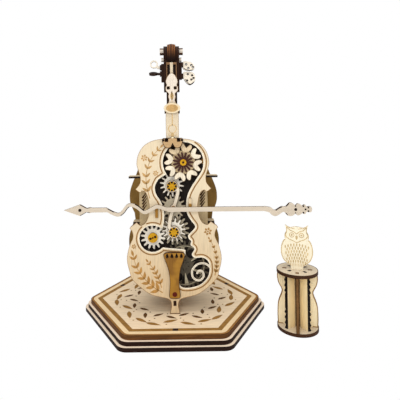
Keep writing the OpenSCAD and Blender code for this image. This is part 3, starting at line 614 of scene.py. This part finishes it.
Engraving(on_front).ring(outer_edge, inset(outer_edge, 0.35)).cut(
    "front_plate_edge_line", scorched("plate_edge", srgb(158, 116, 70)), slot="brown_ply")
# A dark line on the base along the foot of the front plate is painted shade where the plate meets the
# base.
foot_y = front_y - 0.6
foot_half = max(abs(x) for x, z in outer_edge if z < base_top + 0.6) + 0.5
Engraving(on_base).stroke([(-foot_half, foot_y), (foot_half, foot_y)], 0.9).cut(
    "foot_shade_line", key_dark_and_shade, slot="brown_ply")
# A pale band just inside the edge of the window is painted highlight on its rim.
Engraving(on_front).ring(window_edge, inset(window_edge, -1.1, 2)).cut(
    "window_highlight", scorched("rim_highlight", srgb(250, 238, 214)), slot="pale_ply")
border = Engraving(on_front)
for run in border_runs():
    border.stroke(softened(run), border_line)
border.cut("window_border", scorched("border_engraving", srgb(152, 110, 60)))

upper_spray = Engraving(on_front)
upper_spray.spray([(-23.6, 127.5), (-26.4, 139), (-27, 150), (-24.4, 161), (-19, 171), (-12.5, 178)],
                  7.2, 2.6, 7)
upper_spray.blossom((-28.6, 168), 3.6).blossom((-17.4, 152.5), 3)
upper_spray.cut("upper_spray", scorched("spray_engraving", srgb(196, 154, 98)))
lower_spray = Engraving(on_front)
lower_spray.spray([(-12, 33), (-21, 38.5), (-30, 47), (-37.4, 58), (-41, 70)], 9.2, 3.4, 7)
lower_spray.spray([(-13, 38), (-16, 47), (-20.5, 56), (-26, 63.5)], 6.4, 2.4, 5)
lower_spray.blossom((-40.2, 79.5), 2.6)
lower_spray.cut("lower_spray", scorched("broad_spray_engraving", srgb(186, 138, 76)))
right_spray = Engraving(on_front)
right_spray.spray([(40.4, 49.5), (42, 57), (42.4, 66), (40, 77), (35.6, 85.5)], 4.4, 2.3, 7, spread=32)
right_spray.blossom((34, 93.6), 4.2)
right_spray.cut("right_spray", scorched("right_spray_engraving", srgb(178, 134, 78)))

hatch = Engraving(on_sheet("bearing_plate"))
hatch_step = 3.2
for i in range(5):
    up = hatch_step * i
    hatch.stroke([(-32, 113 + up), (-27.6, 119 + up)], 1.8, 0.4)
    hatch.stroke([(27.6, 115 + up), (32.4, 121.5 + up)], 1.9, 0.4)
hatch.cut("waist_hatch", scorched("hatch_engraving", srgb(62, 36, 16)), slot="brown_ply")

# Tailpiece and bow pads
# A golden-brown sheet with four slots lies on the front plate, held by a dark
# red pin, and two slim pads of the same wood lie behind the bow. The plate is
# painted dark as shade where it shows through the slots.
pad_top = 121.5 * MM
pad_soft = 1 * MM
slot_step = 4.7
slot_z = 69.4


def lacquer_cloud(spot):
    """The stain lies darker in some places."""
    return spot.noise(70, 2).rise(0.42, 0.62), srgb(138, 96, 40)


def pale_end(spot):
    """The upper end of the right pad is paler."""
    upper = spot.along(UP).beyond(pad_top, pad_soft)
    return upper * spot.along(SIDE).beyond(0, pad_soft), srgb(226, 202, 164)


coat(plywood("tailpiece_wood", srgb(172, 124, 48), srgb(80, 48, 22), FRONT, UP, lacquer_cloud),
     "tailpiece")
coat(plywood("pad_wood", srgb(164, 118, 50), srgb(80, 48, 22), FRONT, UP, pale_end), "bow_rests")
coat(scorched("pin_wood", srgb(92, 32, 22)), "tailpiece_pin")
# A near-black tone for marks that are partly laser scorch and partly painted shade.
soot_and_shade = scorched("soot_and_shade", srgb(34, 24, 20))
# Dark patches on the front plate behind the tailpiece's slots are painted shade.
slot_shade = Engraving(on_front, over_lines)
for i in (-1.5, -0.5, 0.5, 1.5):
    slot_x = slot_step * i
    slot_shade.fill(circle((slot_x, slot_z), 0.95))
    slot_shade.stroke([(slot_x, slot_z + 0.2), (slot_x, slot_z + 2.8)], 1.7, 0.1)
slot_shade.cut("tailpiece_slot_shade", soot_and_shade, slot="brown_ply")
edge_brown = scorched("edge_brown", srgb(66, 40, 24))
edge_line("tailpiece", 0.5, edge_brown)


# Gear train
# Pale sheet gears turn on dowels in the bearing plate. The crank gears carry
# off-centre discs, and painted yellow caps close the hubs.
def middle_of(node):
    """The middle of a piece's box, in millimetres."""
    low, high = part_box(node)
    return (low + high) / 2 / MM


def off_axis(spot, middle):
    """How far a spot lies from an axle that runs from front to back."""
    axle = (middle.x * MM, 0, middle.z * MM)
    return spot.stretched((1, 0, 1)).vector("DISTANCE", axle, output="Value")


side_gear_mid = middle_of("side_gear")
boss_r = 4.5 * MM


def dark_boss(spot):
    """The boss of the side gear, seen through the holes of its cap, painted dark as shade."""
    return off_axis(spot, side_gear_mid).within(boss_r), srgb(40, 30, 24)


gear_face = srgb(255, 247, 230)
gear_edge = srgb(92, 74, 56)
coat(plywood("gear_wood", gear_face, gear_edge, FRONT, UP), "crank_gear_lower", "crank_gear_upper")
coat(plywood("side_gear_wood", gear_face, gear_edge, FRONT, UP, dark_boss), "side_gear")
# The crank discs are painted nearly black as shade, so that the notches of the caps in front of them
# look dark.
coat(plywood("crank_disc_wood", srgb(48, 34, 26), srgb(34, 24, 18), FRONT, UP),
     "crank_disc_lower", "crank_disc_upper")
# The gears further in are greyer than the front gears: painted shade of the interior.
coat(plywood("inner_gear_wood", srgb(196, 184, 158), srgb(66, 54, 44), FRONT, SIDE),
     "idler_gear", "driven_wheel", "flower_gear", "axle_spacers")
coat(plywood("dowel_wood", srgb(214, 178, 118), srgb(170, 128, 74), FRONT, UP),
     "gear_axles", "idler_axle")
coat(plywood("drive_gear_wood", srgb(98, 90, 76), srgb(46, 40, 34), FRONT, UP),
     "drive_gear", "drive_cap")


def yellow_paint(name):
    """Yellow paint on small wooden discs, rubbed a little in places."""
    finish, shader, spot = blank_finish(name)
    rubbed = spot.noise(900, 3).rise(0.35, 0.7)
    rubbed.blend(srgb(190, 136, 18), srgb(222, 170, 36)).into(shader, "Base Color")
    (0.4 + 0.2 * rubbed).into(shader, "Roughness")
    return finish


coat(yellow_paint("cap_paint"), "cap_lower", "cap_upper", "side_cap", "flower_hub")
# A dark dot in the middle of the side cap and dark rings round its holes are painted shade of holes.
cap_hole_off = 2.6
cap_hole_r = 1.14
cap_shade_r = 1.35
cap_marks = Engraving(on_sheet("side_cap", side_gear_mid.x, side_gear_mid.z))
cap_marks.fill(circle((0, 0), 0.9))
for heading in (20, 200):
    hole = towards(heading, cap_hole_off)
    cap_marks.ring(circle(hole, cap_hole_r), circle(hole, cap_shade_r))
cap_marks.cut("side_cap_marks", scorched("cap_hole_shade", srgb(84, 40, 18)), "side_wheel", "brown_ply")
gear_line = scorched("gear_edge_line", srgb(112, 94, 76))
for node, body in (("crank_gear_lower", "lower_crank"), ("crank_gear_upper", "upper_crank"),
                   ("idler_gear", "idler")):
    edge_line(node, 0.35, gear_line, body, 0.4)

drive_mid = middle_of("drive_gear")
blade_from = 8
blade_to = 18.6
blade_root_w = 0.7
blade_w = 3.9
# Each blade on the drive gear has a light side and a dark side: painted highlight and painted shade of
# facets.
for name, side, colour in (("drive_blades_highlight", 1, srgb(208, 196, 166)),
                           ("drive_blades_shade", -1, srgb(26, 22, 18))):
    blades = Engraving(on_sheet("drive_gear", drive_mid.x, drive_mid.z))
    for heading in range(30, 390, 60):
        root = towards(heading, blade_from)
        tip = towards(heading, blade_to)
        across = towards(heading + 90, side)
        blades.fill([root, tip, tip + across * blade_w, root + across * blade_root_w])
    if side == 1:
        blades.ring(circle((0, 0), 19.5, 72), circle((0, 0), 20.1, 72))
    blades.cut(name, scorched(name + "_wood", colour), "drive", "brown_ply")

# Flower
# Eight heart-shaped petals, two of them painted browner as shade, turn with the top gear,
# each with a dark rim that is partly scorch and partly painted shade, on a beige star
# with a dark daisy and a yellow ring.
hub_mid = middle_of("flower_hub")
star_r = 12.3 * MM
petal_r = 19.5
petal_count = 8
petal_turn = 32.8
heart_share = 1.04


def petal_star(spot):
    """The star between the petals."""
    return off_axis(spot, hub_mid).within(star_r), srgb(198, 172, 132)


# The petal piece is dark brown round the hearts: their scorched edges and painted shade along their
# outlines.
coat(plywood("petal_rim_wood", srgb(96, 68, 42), char, FRONT, UP, petal_star), "flower_petals")
coat(plywood("daisy_wood", srgb(72, 42, 36), srgb(30, 18, 12), FRONT, SIDE), "flower_daisy")
half_heart = smooth([(0, 0.545), (0.085, 0.56), (0.165, 0.612), (0.236, 0.7), (0.27, 0.8),
                     (0.258, 0.885), (0.216, 0.934), (0.165, 0.925), (0.095, 0.85), (0, 0.75)], 3)
heart = half_heart + [Vector((-p.x, p.y)) for p in half_heart[-2:0:-1]]
heart_mid = sum(heart, Vector((0, 0))) / len(heart)
heart = [heart_mid.lerp(p, heart_share) for p in heart]
# The two hearts at the top are painted browner as shade.
shaded_hearts = (1, 2)
pale_hearts = [i for i in range(petal_count) if i not in shaded_hearts]
for name, places, colour in (("shaded_hearts", shaded_hearts, srgb(230, 206, 168)),
                             ("pale_hearts", pale_hearts, srgb(246, 232, 206))):
    hearts = Engraving(on_sheet("flower_petals", hub_mid.x, hub_mid.z))
    for i in places:
        turn = Matrix.Rotation(radians(petal_turn - 90 + 360 / petal_count * i), 2)
        hearts.fill([turn @ p * petal_r for p in heart])
    hearts.cut(name, scorched(name + "_wood", colour), body="flower", slot="pale_ply")

# Link and bow
# A curved link rides on the two crank discs and carries the bow on a dowel in
# front of the plate.
coat(plywood("bow_wood", srgb(218, 203, 182), srgb(70, 44, 26), FRONT, SIDE), "bow")
coat(plywood("link_wood", srgb(244, 230, 206), srgb(90, 66, 46), FRONT, UP), "bow_link")
coat(plywood("bow_post_wood", gold, srgb(150, 108, 56), FRONT, UP), "bow_post")
bow_face = on_sheet("bow")
bow_height = 116.8
bow_tilt = Matrix.Rotation(radians(-0.35), 2)


def on_bow(u, v, height):
    """Places a drawing along the bow, which is tilted a little."""
    spot = bow_tilt @ Vector((u, v))
    return bow_face(spot.x, spot.y + bow_height, height)


bow_marks = Engraving(on_bow).fill(circle((-92.7, 0), 1.6)).fill(circle((120.8, -1), 1.5))
# The two small dots next to the middle dot at the right end are painted shade at the notches.
for at, radius in (((120.6, 2.4), 0.65), ((120.6, -4.4), 0.65), ((128.5, 2.2), 0.9),
                   ((128.5, -4.2), 0.9), ((130.6, -1), 1), ((133.4, 0.8), 0.9), ((133.4, -2.8), 0.9)):
    bow_marks.fill(circle(at, radius, 10))
bow_marks.stroke(smooth([(101, -1.8), (104.6, 0.6), (107.4, 1.7)]), 0.7)
bow_marks.stroke([(111.4, 2.2), (114.2, 5)], 0.7).stroke([(110.8, -4.3), (113, -6.4)], 0.7)
for side in (-1, 1):
    bow_marks.stroke([(-92.4, 5.2 * side), (-86.2, 1.9 * side)], 0.5)
    bow_marks.stroke([(-85.6, 1.9 * side), (-83, 2.5 * side)], 0.5)
bow_marks.cut("bow_marks", soot_and_shade, body="bow_and_link", slot="brown_ply")
edge_line("bow_link", 0.35, gear_line, "bow_and_link")

# At the bow's tip, dark lines along the wavy edges that face its middle are scorch and painted shade.
wave_from = -84
wave_to = -28
wave_width = 0.7
wave_slant = 0.4
fewest_steps = 4
bow_edge = even_points(edge_loops("bow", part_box("bow")[0].y / MM)[0], 0.5)
inner_edge = inset(bow_edge, wave_width)
facing_middle = (bow_edge - inner_edge)[:, 0] > wave_slant * wave_width
burnt_and_shaded = facing_middle & (bow_edge[:, 0] > wave_from) & (bow_edge[:, 0] < wave_to)
order = np.roll(np.arange(len(burnt_and_shaded)), -int(np.argmin(burnt_and_shaded)))
waves = Engraving(bow_face)
for run in np.split(order, np.flatnonzero(np.diff(burnt_and_shaded[order].astype(int))) + 1):
    if burnt_and_shaded[run[0]] and len(run) > fewest_steps:
        waves.strip(bow_edge[run], inner_edge[run], False)
waves.cut("bow_wave_shade_lines", soot_and_shade, body="bow_and_link", slot="brown_ply")


# Drive and movement
# Behind the bearing plate sits a small spring movement: a steel bedplate with
# a comb, a pinned brass cylinder and a governor, and a brass key at the back.
def metal(name, colour, roughness):
    """Rolled or turned metal with fine brushing."""
    finish, shader, spot = blank_finish(name)
    brushing = spot.stretched((2400, 160, 160)).noise(1, 3)
    brushing.mottle(colour, 0.85, 1).into(shader, "Base Color")
    (roughness + 0.18 * brushing).into(shader, "Roughness")
    shader.inputs["Metallic"].default_value = 1
    return finish


coat(metal("bright_steel", srgb(206, 206, 204), 0.26),
     "spring_barrel", "drive_arbor", "comb", "movement_screws")
coat(metal("bedplate_zinc", srgb(182, 180, 174), 0.4), "movement_bedplate")
coat(metal("plain_brass", srgb(222, 178, 98), 0.26),
     "winding_key", "comb_screws", "music_cylinder", "governor_fly")

# Neck and scroll
# Brown strips stand side by side between two dark cheeks and end in a round
# scroll. A pale fingerboard with engraved lines lies on the front, held by a
# collar with a tan medallion, and a tan bracket covers its foot.
scroll_low, scroll_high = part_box("scroll_strips")
strip_t = (scroll_high.x - scroll_low.x) / 5
frame_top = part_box("pegbox_front")[1].z
dark_to = frame_top + 3 * MM
brown_from = scroll_high.z - 4 * MM
bar_half = 1.5 * MM
bar_foot = frame_top - 14 * MM
bar_fade = 4 * MM
eye_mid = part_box("scroll_eyes")[1].z - 3.5 * MM
eye_band_half = 1.5 * MM
small_eye_top = eye_mid - 5 * MM
medallion_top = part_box("neck_medallion")[1].z
head_fade = 2 * MM


def scroll_wood(name, colour):
    """Brown strips seen on their edges, dark at their seams and below the scroll's crown."""
    finish, shader, spot = blank_finish(name)
    fibres = grain(spot, UP)
    below = 1 - spot.along(UP).rise(dark_to, brown_from)
    seam = spot.along(SIDE).math("PINGPONG", strip_t / 2).rise(0.16 * strip_t, 0.4 * strip_t)
    wood = fibres.mottle(colour, 0.75, 1.1)
    below.larger(seam).blend(wood, srgb(34, 18, 11)).into(shader, "Base Color")
    (0.7 - 0.1 * fibres).into(shader, "Roughness")
    return finish


def pale_bar(spot):
    """The upper part of the middle bar of the pegbox frame."""
    middle = abs(spot.along(SIDE)).within(bar_half)
    return middle * spot.along(UP).beyond(bar_foot, bar_fade), srgb(226, 208, 178)


def eye_bands(spot):
    """A pale band round each knob, and the small knobs below."""
    height = spot.along(UP)
    girdle = abs(height - eye_mid).within(eye_band_half, 0.4 * MM)
    return girdle.larger(height.within(small_eye_top, 0.2 * MM)), srgb(226, 214, 198)


def pale_head(spot):
    """The fingerboard is whiter above the collar."""
    return spot.along(UP).beyond(medallion_top, head_fade), srgb(240, 226, 208)


def mirrored(points, side):
    """Points on the right side, or on the left one where side is -1."""
    return [(side * x, z) for x, z in points]


coat(scroll_wood("strip_wood", srgb(140, 88, 46)), "scroll_strips")
coat(scroll_wood("core_wood", srgb(112, 68, 36)), "neck_core")
coat(plywood("cheek_wood", srgb(66, 36, 20), srgb(46, 24, 12), SIDE, UP), "pegbox_cheeks")
coat(plywood("eye_wood", srgb(92, 62, 40), srgb(70, 46, 30), FRONT, SIDE, eye_bands), "scroll_eyes")
coat(plywood("pegbox_front_wood", srgb(138, 104, 72), char, FRONT, UP, pale_bar), "pegbox_front")
coat(plywood("fingerboard_wood", srgb(232, 214, 184), char, FRONT, UP, pale_head), "fingerboard")
coat(plywood("collar_wood", srgb(240, 222, 188), char, UP, SIDE), "neck_collar")
coat(plywood("medallion_wood", srgb(240, 220, 184), srgb(96, 64, 38), FRONT, SIDE), "neck_medallion")
coat(plywood("bracket_wood", srgb(202, 166, 120), srgb(58, 34, 18), FRONT, SIDE), "neck_bracket")

medallion_mid = middle_of("neck_medallion").z
on_board = on_sheet("fingerboard")
board_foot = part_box("fingerboard")[0].z / MM
board = Engraving(on_board)
board.stroke([(0, board_foot + 16), (0, medallion_mid - 5.4)], 1)
board.stroke([(0, medallion_mid + 6), (0, medallion_mid + 17.4)], 0.8)
board.leaf((0, medallion_mid + 8), 90, 9, 3.4)
board.leaf((0, board_foot + 3), 90, 6.4, 2.6)
lyre = smooth([(0, 16.6), (2.6, 15.8), (4, 12.8), (2.6, 9.6),
               (1, 8.4), (2, 6.2), (3.6, 6.6), (3.4, 8.2)])
for side in (-1, 1):
    board.stroke([(x, board_foot + z) for x, z in mirrored(lyre, side)], 0.8, 0.6)
board.cut("fingerboard_lines", scorched("board_engraving", srgb(214, 180, 126)))

# Dark rings round the bracket's slots and holes, and dark patches on the board and the plate behind
# them, are painted shade that makes the slots look deep. A dark V is drawn below them.
bracket_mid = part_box("neck_bracket")[1].z / MM - 4.2
on_bracket = on_sheet("neck_bracket", z=bracket_mid)
bracket_shade = Engraving(on_bracket, over_lines)
board_shade = Engraving(on_board, over_lines)
plate_shade = Engraving(on_front, over_lines)
slot_corners = [Vector(c) for c in ((-1.3, -0.45), (1.3, -0.45), (1.3, 0.45), (-1.3, 0.45))]
shade_corners = [Vector((1.35 * c.x, 1.06 * c.y)) for c in slot_corners]
for side in (-1, 1):
    for row in (0, 1.6):
        slot_mid = Vector((side * 6, row))
        bracket_shade.ring([slot_mid + c for c in slot_corners], [slot_mid + c for c in shade_corners])
    hole = (side * 9.2, 0.6)
    bracket_shade.ring(circle(hole, 0.72), circle(hole, 1.1))
    bracket_shade.stroke(mirrored([(0, -2.4), (0.4, -3.8), (1.6, -5.6)], side), 0.7)
    board_shade.stroke([(side * 5.4, board_foot), (side * 5.4, board_foot + 3)], 2)
    plate_shade.stroke([(side * 8.3, board_foot + 0.2), (side * 8.3, board_foot + 3)], 3.6)
board_shade.cut("board_shade", soot_and_shade, slot="brown_ply")
plate_shade.cut("plate_shade", soot_and_shade, slot="brown_ply")
bracket_shade.cut("bracket_shade", soot_and_shade, slot="brown_ply")
Engraving(on_bracket, over_lines).fill([(0, 4), (1.5, 3.1), (0, 2.2), (-1.5, 3.1)]).cut(
    "bracket_lozenge", scorched("lozenge_wood", srgb(250, 236, 196)), slot="pale_ply")
edge_line("neck_bracket", 0.6, edge_brown)
edge_line("fingerboard", 0.3, scorched("board_edge", srgb(150, 116, 76)))
oval = [(6 * p.x, 3.7 * p.y) for p in circle((0, 0), 1, 28)]
Engraving(on_sheet("neck_medallion", z=medallion_mid)).fill(oval).cut(
    "medallion_oval", scorched("medallion_engraving", srgb(206, 166, 108)))

# Pegs
# Flat tuning pegs of pale plywood stand out of the pegbox on dark round
# collars, and the lower left one shows only its scorched edge.
collar_end = 11.8 * MM
edgeways_top = 256 * MM
peg_root = (7.825, -31.5)
peg_half_t = 1
peg_hole_r = 0.65
peg_soot_r = 1.25


def dark_collar(spot):
    """The collars, and the left peg that shows its scorched edge."""
    collar = abs(spot.along(SIDE)).within(collar_end)
    on_left = spot.along(SIDE).within(-1 * MM, 2 * MM)
    edgeways = spot.along(UP).within(edgeways_top, 0.2 * MM) * on_left
    return collar.larger(edgeways), srgb(48, 28, 18)


def on_peg(z, turn):
    """Places a drawing on a flat peg that is turned about its own axis."""
    tilt = Matrix.Rotation(radians(turn), 3, "X")
    root = Vector((*peg_root, z))
    return lambda u, v, height: tilt @ Vector((u, -peg_half_t - height, v)) + root


coat(plywood("peg_wood", srgb(242, 230, 210), srgb(46, 28, 18), FRONT, SIDE, dark_collar),
     "right_pegs", "left_pegs")
for name, z, turn, holes, lower_edge in (
        ("upper_peg_marks", 261.7, -4, [(7.1, 0.3), (12.4, -0.6), (9.2, -3.6), (14, -2.8)],
         [(4.4, -3.6), (8, -5.5), (11, -5.9), (13.6, -5.3)]),
        ("lower_peg_marks", 250.1, -18, [(8.8, 1.8), (13, 0.4), (7.8, -5.2), (12.2, -4.2), (14.4, -2.6)],
         [(5.4, -3.8), (9.8, -9), (12.4, -8.8), (14.3, -6.8)])):
    marks = Engraving(on_peg(z, turn))
    for hole in holes:
        marks.ring(circle(hole, peg_hole_r, 12), circle(hole, peg_soot_r, 12))
    marks.stroke(smooth(lower_edge), 0.6)
    marks.cut(name, soot_and_shade, slot="brown_ply")

# Stool
# Eight upright fins stand between two round plates. The side fins have a
# waist, the diagonal ones a wavy scorched edge.
stool_mid = middle_of("stool_plates")
stool_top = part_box("stool_plates")[1].z / MM
stool_turn = radians(-17)
stool_sheet = 3
wavy_edge = 14.1 * MM


def fin_wood(name, face, edge, soot_from=1):
    """Upright sheets round a middle line, with scorched edges.

    Their faces are pale up to soot_from, which by default lies past the whole stool.
    """
    finish, shader, spot = blank_finish(name)
    normal = spot.node("ShaderNodeNewGeometry", {}, {}, "True Normal")
    flat = spot.vector("SUBTRACT", stool_mid * MM).stretched((1, 1, 0))
    upright_edge = abs(normal.along(flat.vector("NORMALIZE")))
    outer_part = flat.vector("LENGTH", output="Value").beyond(soot_from, 0.3 * MM)
    on_edge = (upright_edge + abs(normal.along(UP))).rise(0.6, 0.8).larger(outer_part)
    fibres = grain(spot, UP)
    wood = (0.6 * fibres + 0.4 * spot.noise(60, 2)).mottle(face, 0.88, 1.05)
    burnt_and_shaded = spot.stretched((700, 700, 90)).noise(1, 3).mottle(edge, 0.8, 1.6, 0.35, 0.75)
    along_fin = abs(flat.along((cos(stool_turn), sin(stool_turn), 0)))
    across_fin = abs(flat.along((-sin(stool_turn), cos(stool_turn), 0)))
    corner = along_fin.smaller(across_fin).rise(0.8 * MM, 1.1 * MM)
    on_edge.blend(wood, corner.blend(burnt_and_shaded, shade(edge, 0.35))).into(shader, "Base Color")
    (0.72 - 0.14 * fibres).into(shader, "Roughness")
    return finish


def on_fin(upright, level):
    """Places a drawing on one face of a fin."""
    outward = 1 if level > 0 else -1
    return lambda u, v, height: upright @ Vector((u, level + outward * height, v))


coat(plywood("stool_plate_wood", srgb(212, 196, 170), srgb(70, 42, 22), UP, SIDE), "stool_plates")
coat(fin_wood("side_fin_wood", srgb(252, 234, 194), srgb(112, 78, 42)), "stool_side_fins")
coat(fin_wood("diagonal_fin_wood", srgb(250, 230, 186), srgb(34, 18, 10), wavy_edge),
     "stool_diagonal_fins")
for name, level in (("upper", stool_top), ("lower", stool_sheet)):
    plate_edge = even_points(edge_loops("stool_plates", level, 2)[0], 0.8)
    Engraving(on_level(level)).ring(plate_edge, inset(plate_edge, 0.6)).cut(
        "stool_" + name + "_rim", edge_brown, slot="brown_ply")

# One drawing takes in both faces of all side fins, so its place changes on the way.
fin_lines = Engraving(None)
for turn in (stool_turn, stool_turn + pi / 2):
    upright = Matrix.Translation((stool_mid.x, stool_mid.y, 0)) @ Matrix.Rotation(turn, 4, "Z")
    for level in (-stool_sheet / 2, stool_sheet / 2):
        fin_lines.place = on_fin(upright, level)
        for loop in edge_loops("stool_side_fins", level, 1, upright.inverted()):
            fin_edge = even_points(loop, 0.8)
            fin_lines.ring(fin_edge, inset(fin_edge, 0.9))
fin_lines.cut("stool_fin_lines", scorched("fin_edge", srgb(150, 112, 62)))

# Owl
# A flat owl of pale plywood stands in a slot of the stool, with its face and
# feathers engraved in light lines.
coat(plywood("owl_wood", srgb(255, 244, 216), srgb(222, 190, 136), FRONT, UP), "owl")
owl_half_t = 1
owl_turn = Matrix.Rotation(stool_turn, 3, "Z")
owl_foot = Vector((stool_mid.x, stool_mid.y, stool_top))


def on_owl(u, v, height):
    """Places a drawing on the owl, from the middle of its foot."""
    return owl_turn @ Vector((u, -owl_half_t - height, v)) + owl_foot


owl = Engraving(on_owl)
owl.stroke(smooth([(-9.4, 40.8), (-6, 37.8), (-2.4, 36.4), (0, 34.4),
                   (2.4, 36.4), (6, 37.8), (9.4, 40.8)]), 0.8)
owl.stroke(smooth([(-9.3, 36), (-10.4, 32.6), (-7.6, 29.4), (-3.4, 27.6), (0, 26),
                   (3.4, 27.6), (7.6, 29.4), (10.4, 32.6), (9.3, 36)]), 0.8)
owl.leaf((0, 33), -90, 4.6, 2.2)
flank = smooth([(5.8, 3.6), (8, 5.3), (12, 8.6), (14.3, 14.5), (14.3, 21), (12.6, 26.2), (10.6, 28.6)])
cheek = smooth([(10.8, 30), (10.8, 33.4), (9.3, 36.4), (9.2, 39), (9.6, 41.5)])
for side in (-1, 1):
    eye = (4.5 * side, 33.2)
    owl.ring(circle(eye, 1.8), circle(eye, 2.5)).fill(circle(eye, 0.9))
    owl.stroke(mirrored(flank, side), 0.7).stroke(mirrored(cheek, side), 0.7)
    owl.stroke(mirrored([(8.8, 41), (5.6, 39.8)], side), 0.6)
    owl.stroke(mirrored([(5, 40), (1.6, 39.2)], side), 0.6)
feather_top = 25.4
feather_drop = 3.2
feather_gap = 2.7
feather_droop = 0.02
for row in range(6):
    count = 8 if row % 2 else 9
    for i in range(count):
        x = (i - (count - 1) / 2) * (feather_gap - 0.09 * row)
        owl.leaf((x, feather_top - feather_drop * row - feather_droop * x * x), -90, 3.6, 1.3)
for i in range(-4, 5):
    owl.stroke([(i * 1.5, 5.4), (i * 1.4, 2.6)], 0.6, 0.5)
owl.cut("owl_lines", scorched("owl_engraving", srgb(214, 188, 140)), slot="pale_ply")

# Studio
# A white floor under soft light from all round, with lamps at the front left,
# at the right and above, as in a catalogue picture.
floor_half = 4
floor_corners = [(x * floor_half, y * floor_half, 0) for x, y in ((-1, -1), (1, -1), (1, 1), (-1, 1))]
floor_mesh = bpy.data.meshes.new("floor")
floor_mesh.from_pydata(floor_corners, [], [(0, 1, 2, 3)])
floor = bpy.data.objects.new("floor", floor_mesh)
scene.collection.objects.link(floor)


def shown(tree):
    """1 for rays that show the backdrop itself, 0 for those that only light the part."""
    path = tree.nodes.new("ShaderNodeLightPath")
    kinds = [Tone(tree, path.outputs[f"Is {kind} Ray"]) for kind in ("Camera", "Glossy", "Transmission")]
    return kinds[0].larger(kinds[1]).larger(kinds[2])


floor_finish = bpy.data.materials.new("studio_floor")
floor_finish.use_nodes = True
floor_shown = shown(floor_finish.node_tree)
paper = floor_shown.node("ShaderNodeBsdfDiffuse", {}, {"Color": (0.92, 0.92, 0.92)})
glow = floor_shown.node("ShaderNodeEmission", {}, {"Color": (1, 1, 1), "Strength": 1})
backdrop = floor_shown.node("ShaderNodeMixShader", {}, {0: floor_shown, 1: paper, 2: glow})
backdrop.into(floor_finish.node_tree.nodes["Material Output"], "Surface")
floor_mesh.materials.append(floor_finish)

world = bpy.data.worlds.new("studio")
world.use_nodes = True
scene.world = world
sky = world.node_tree.nodes["Background"]
sky.inputs["Color"].default_value = (1, 1, 1, 1)
(0.5 + 0.5 * shown(world.node_tree)).into(sky, "Strength")


def lamp(name, at, target, size, power):
    """A square soft lamp turned to a point."""
    light = bpy.data.lights.new(name, "AREA")
    light.size = size
    light.energy = power
    made = bpy.data.objects.new(name, light)
    made.location = at
    made.rotation_euler = (Vector(target) - Vector(at)).to_track_quat("-Z", "Y").to_euler()
    scene.collection.objects.link(made)


lamp("key_lamp", (-0.35, -1.05, 0.85), (0, 0, 0.12), 0.6, 4.8)
lamp("fill_lamp", (0.6, -0.9, 0.4), (0, 0, 0.12), 0.8, 1.1)
lamp("top_lamp", (-0.02, -0.2, 1.2), (0, 0, 0), 0.7, 6.3)
scene.view_settings.view_transform = "Standard"
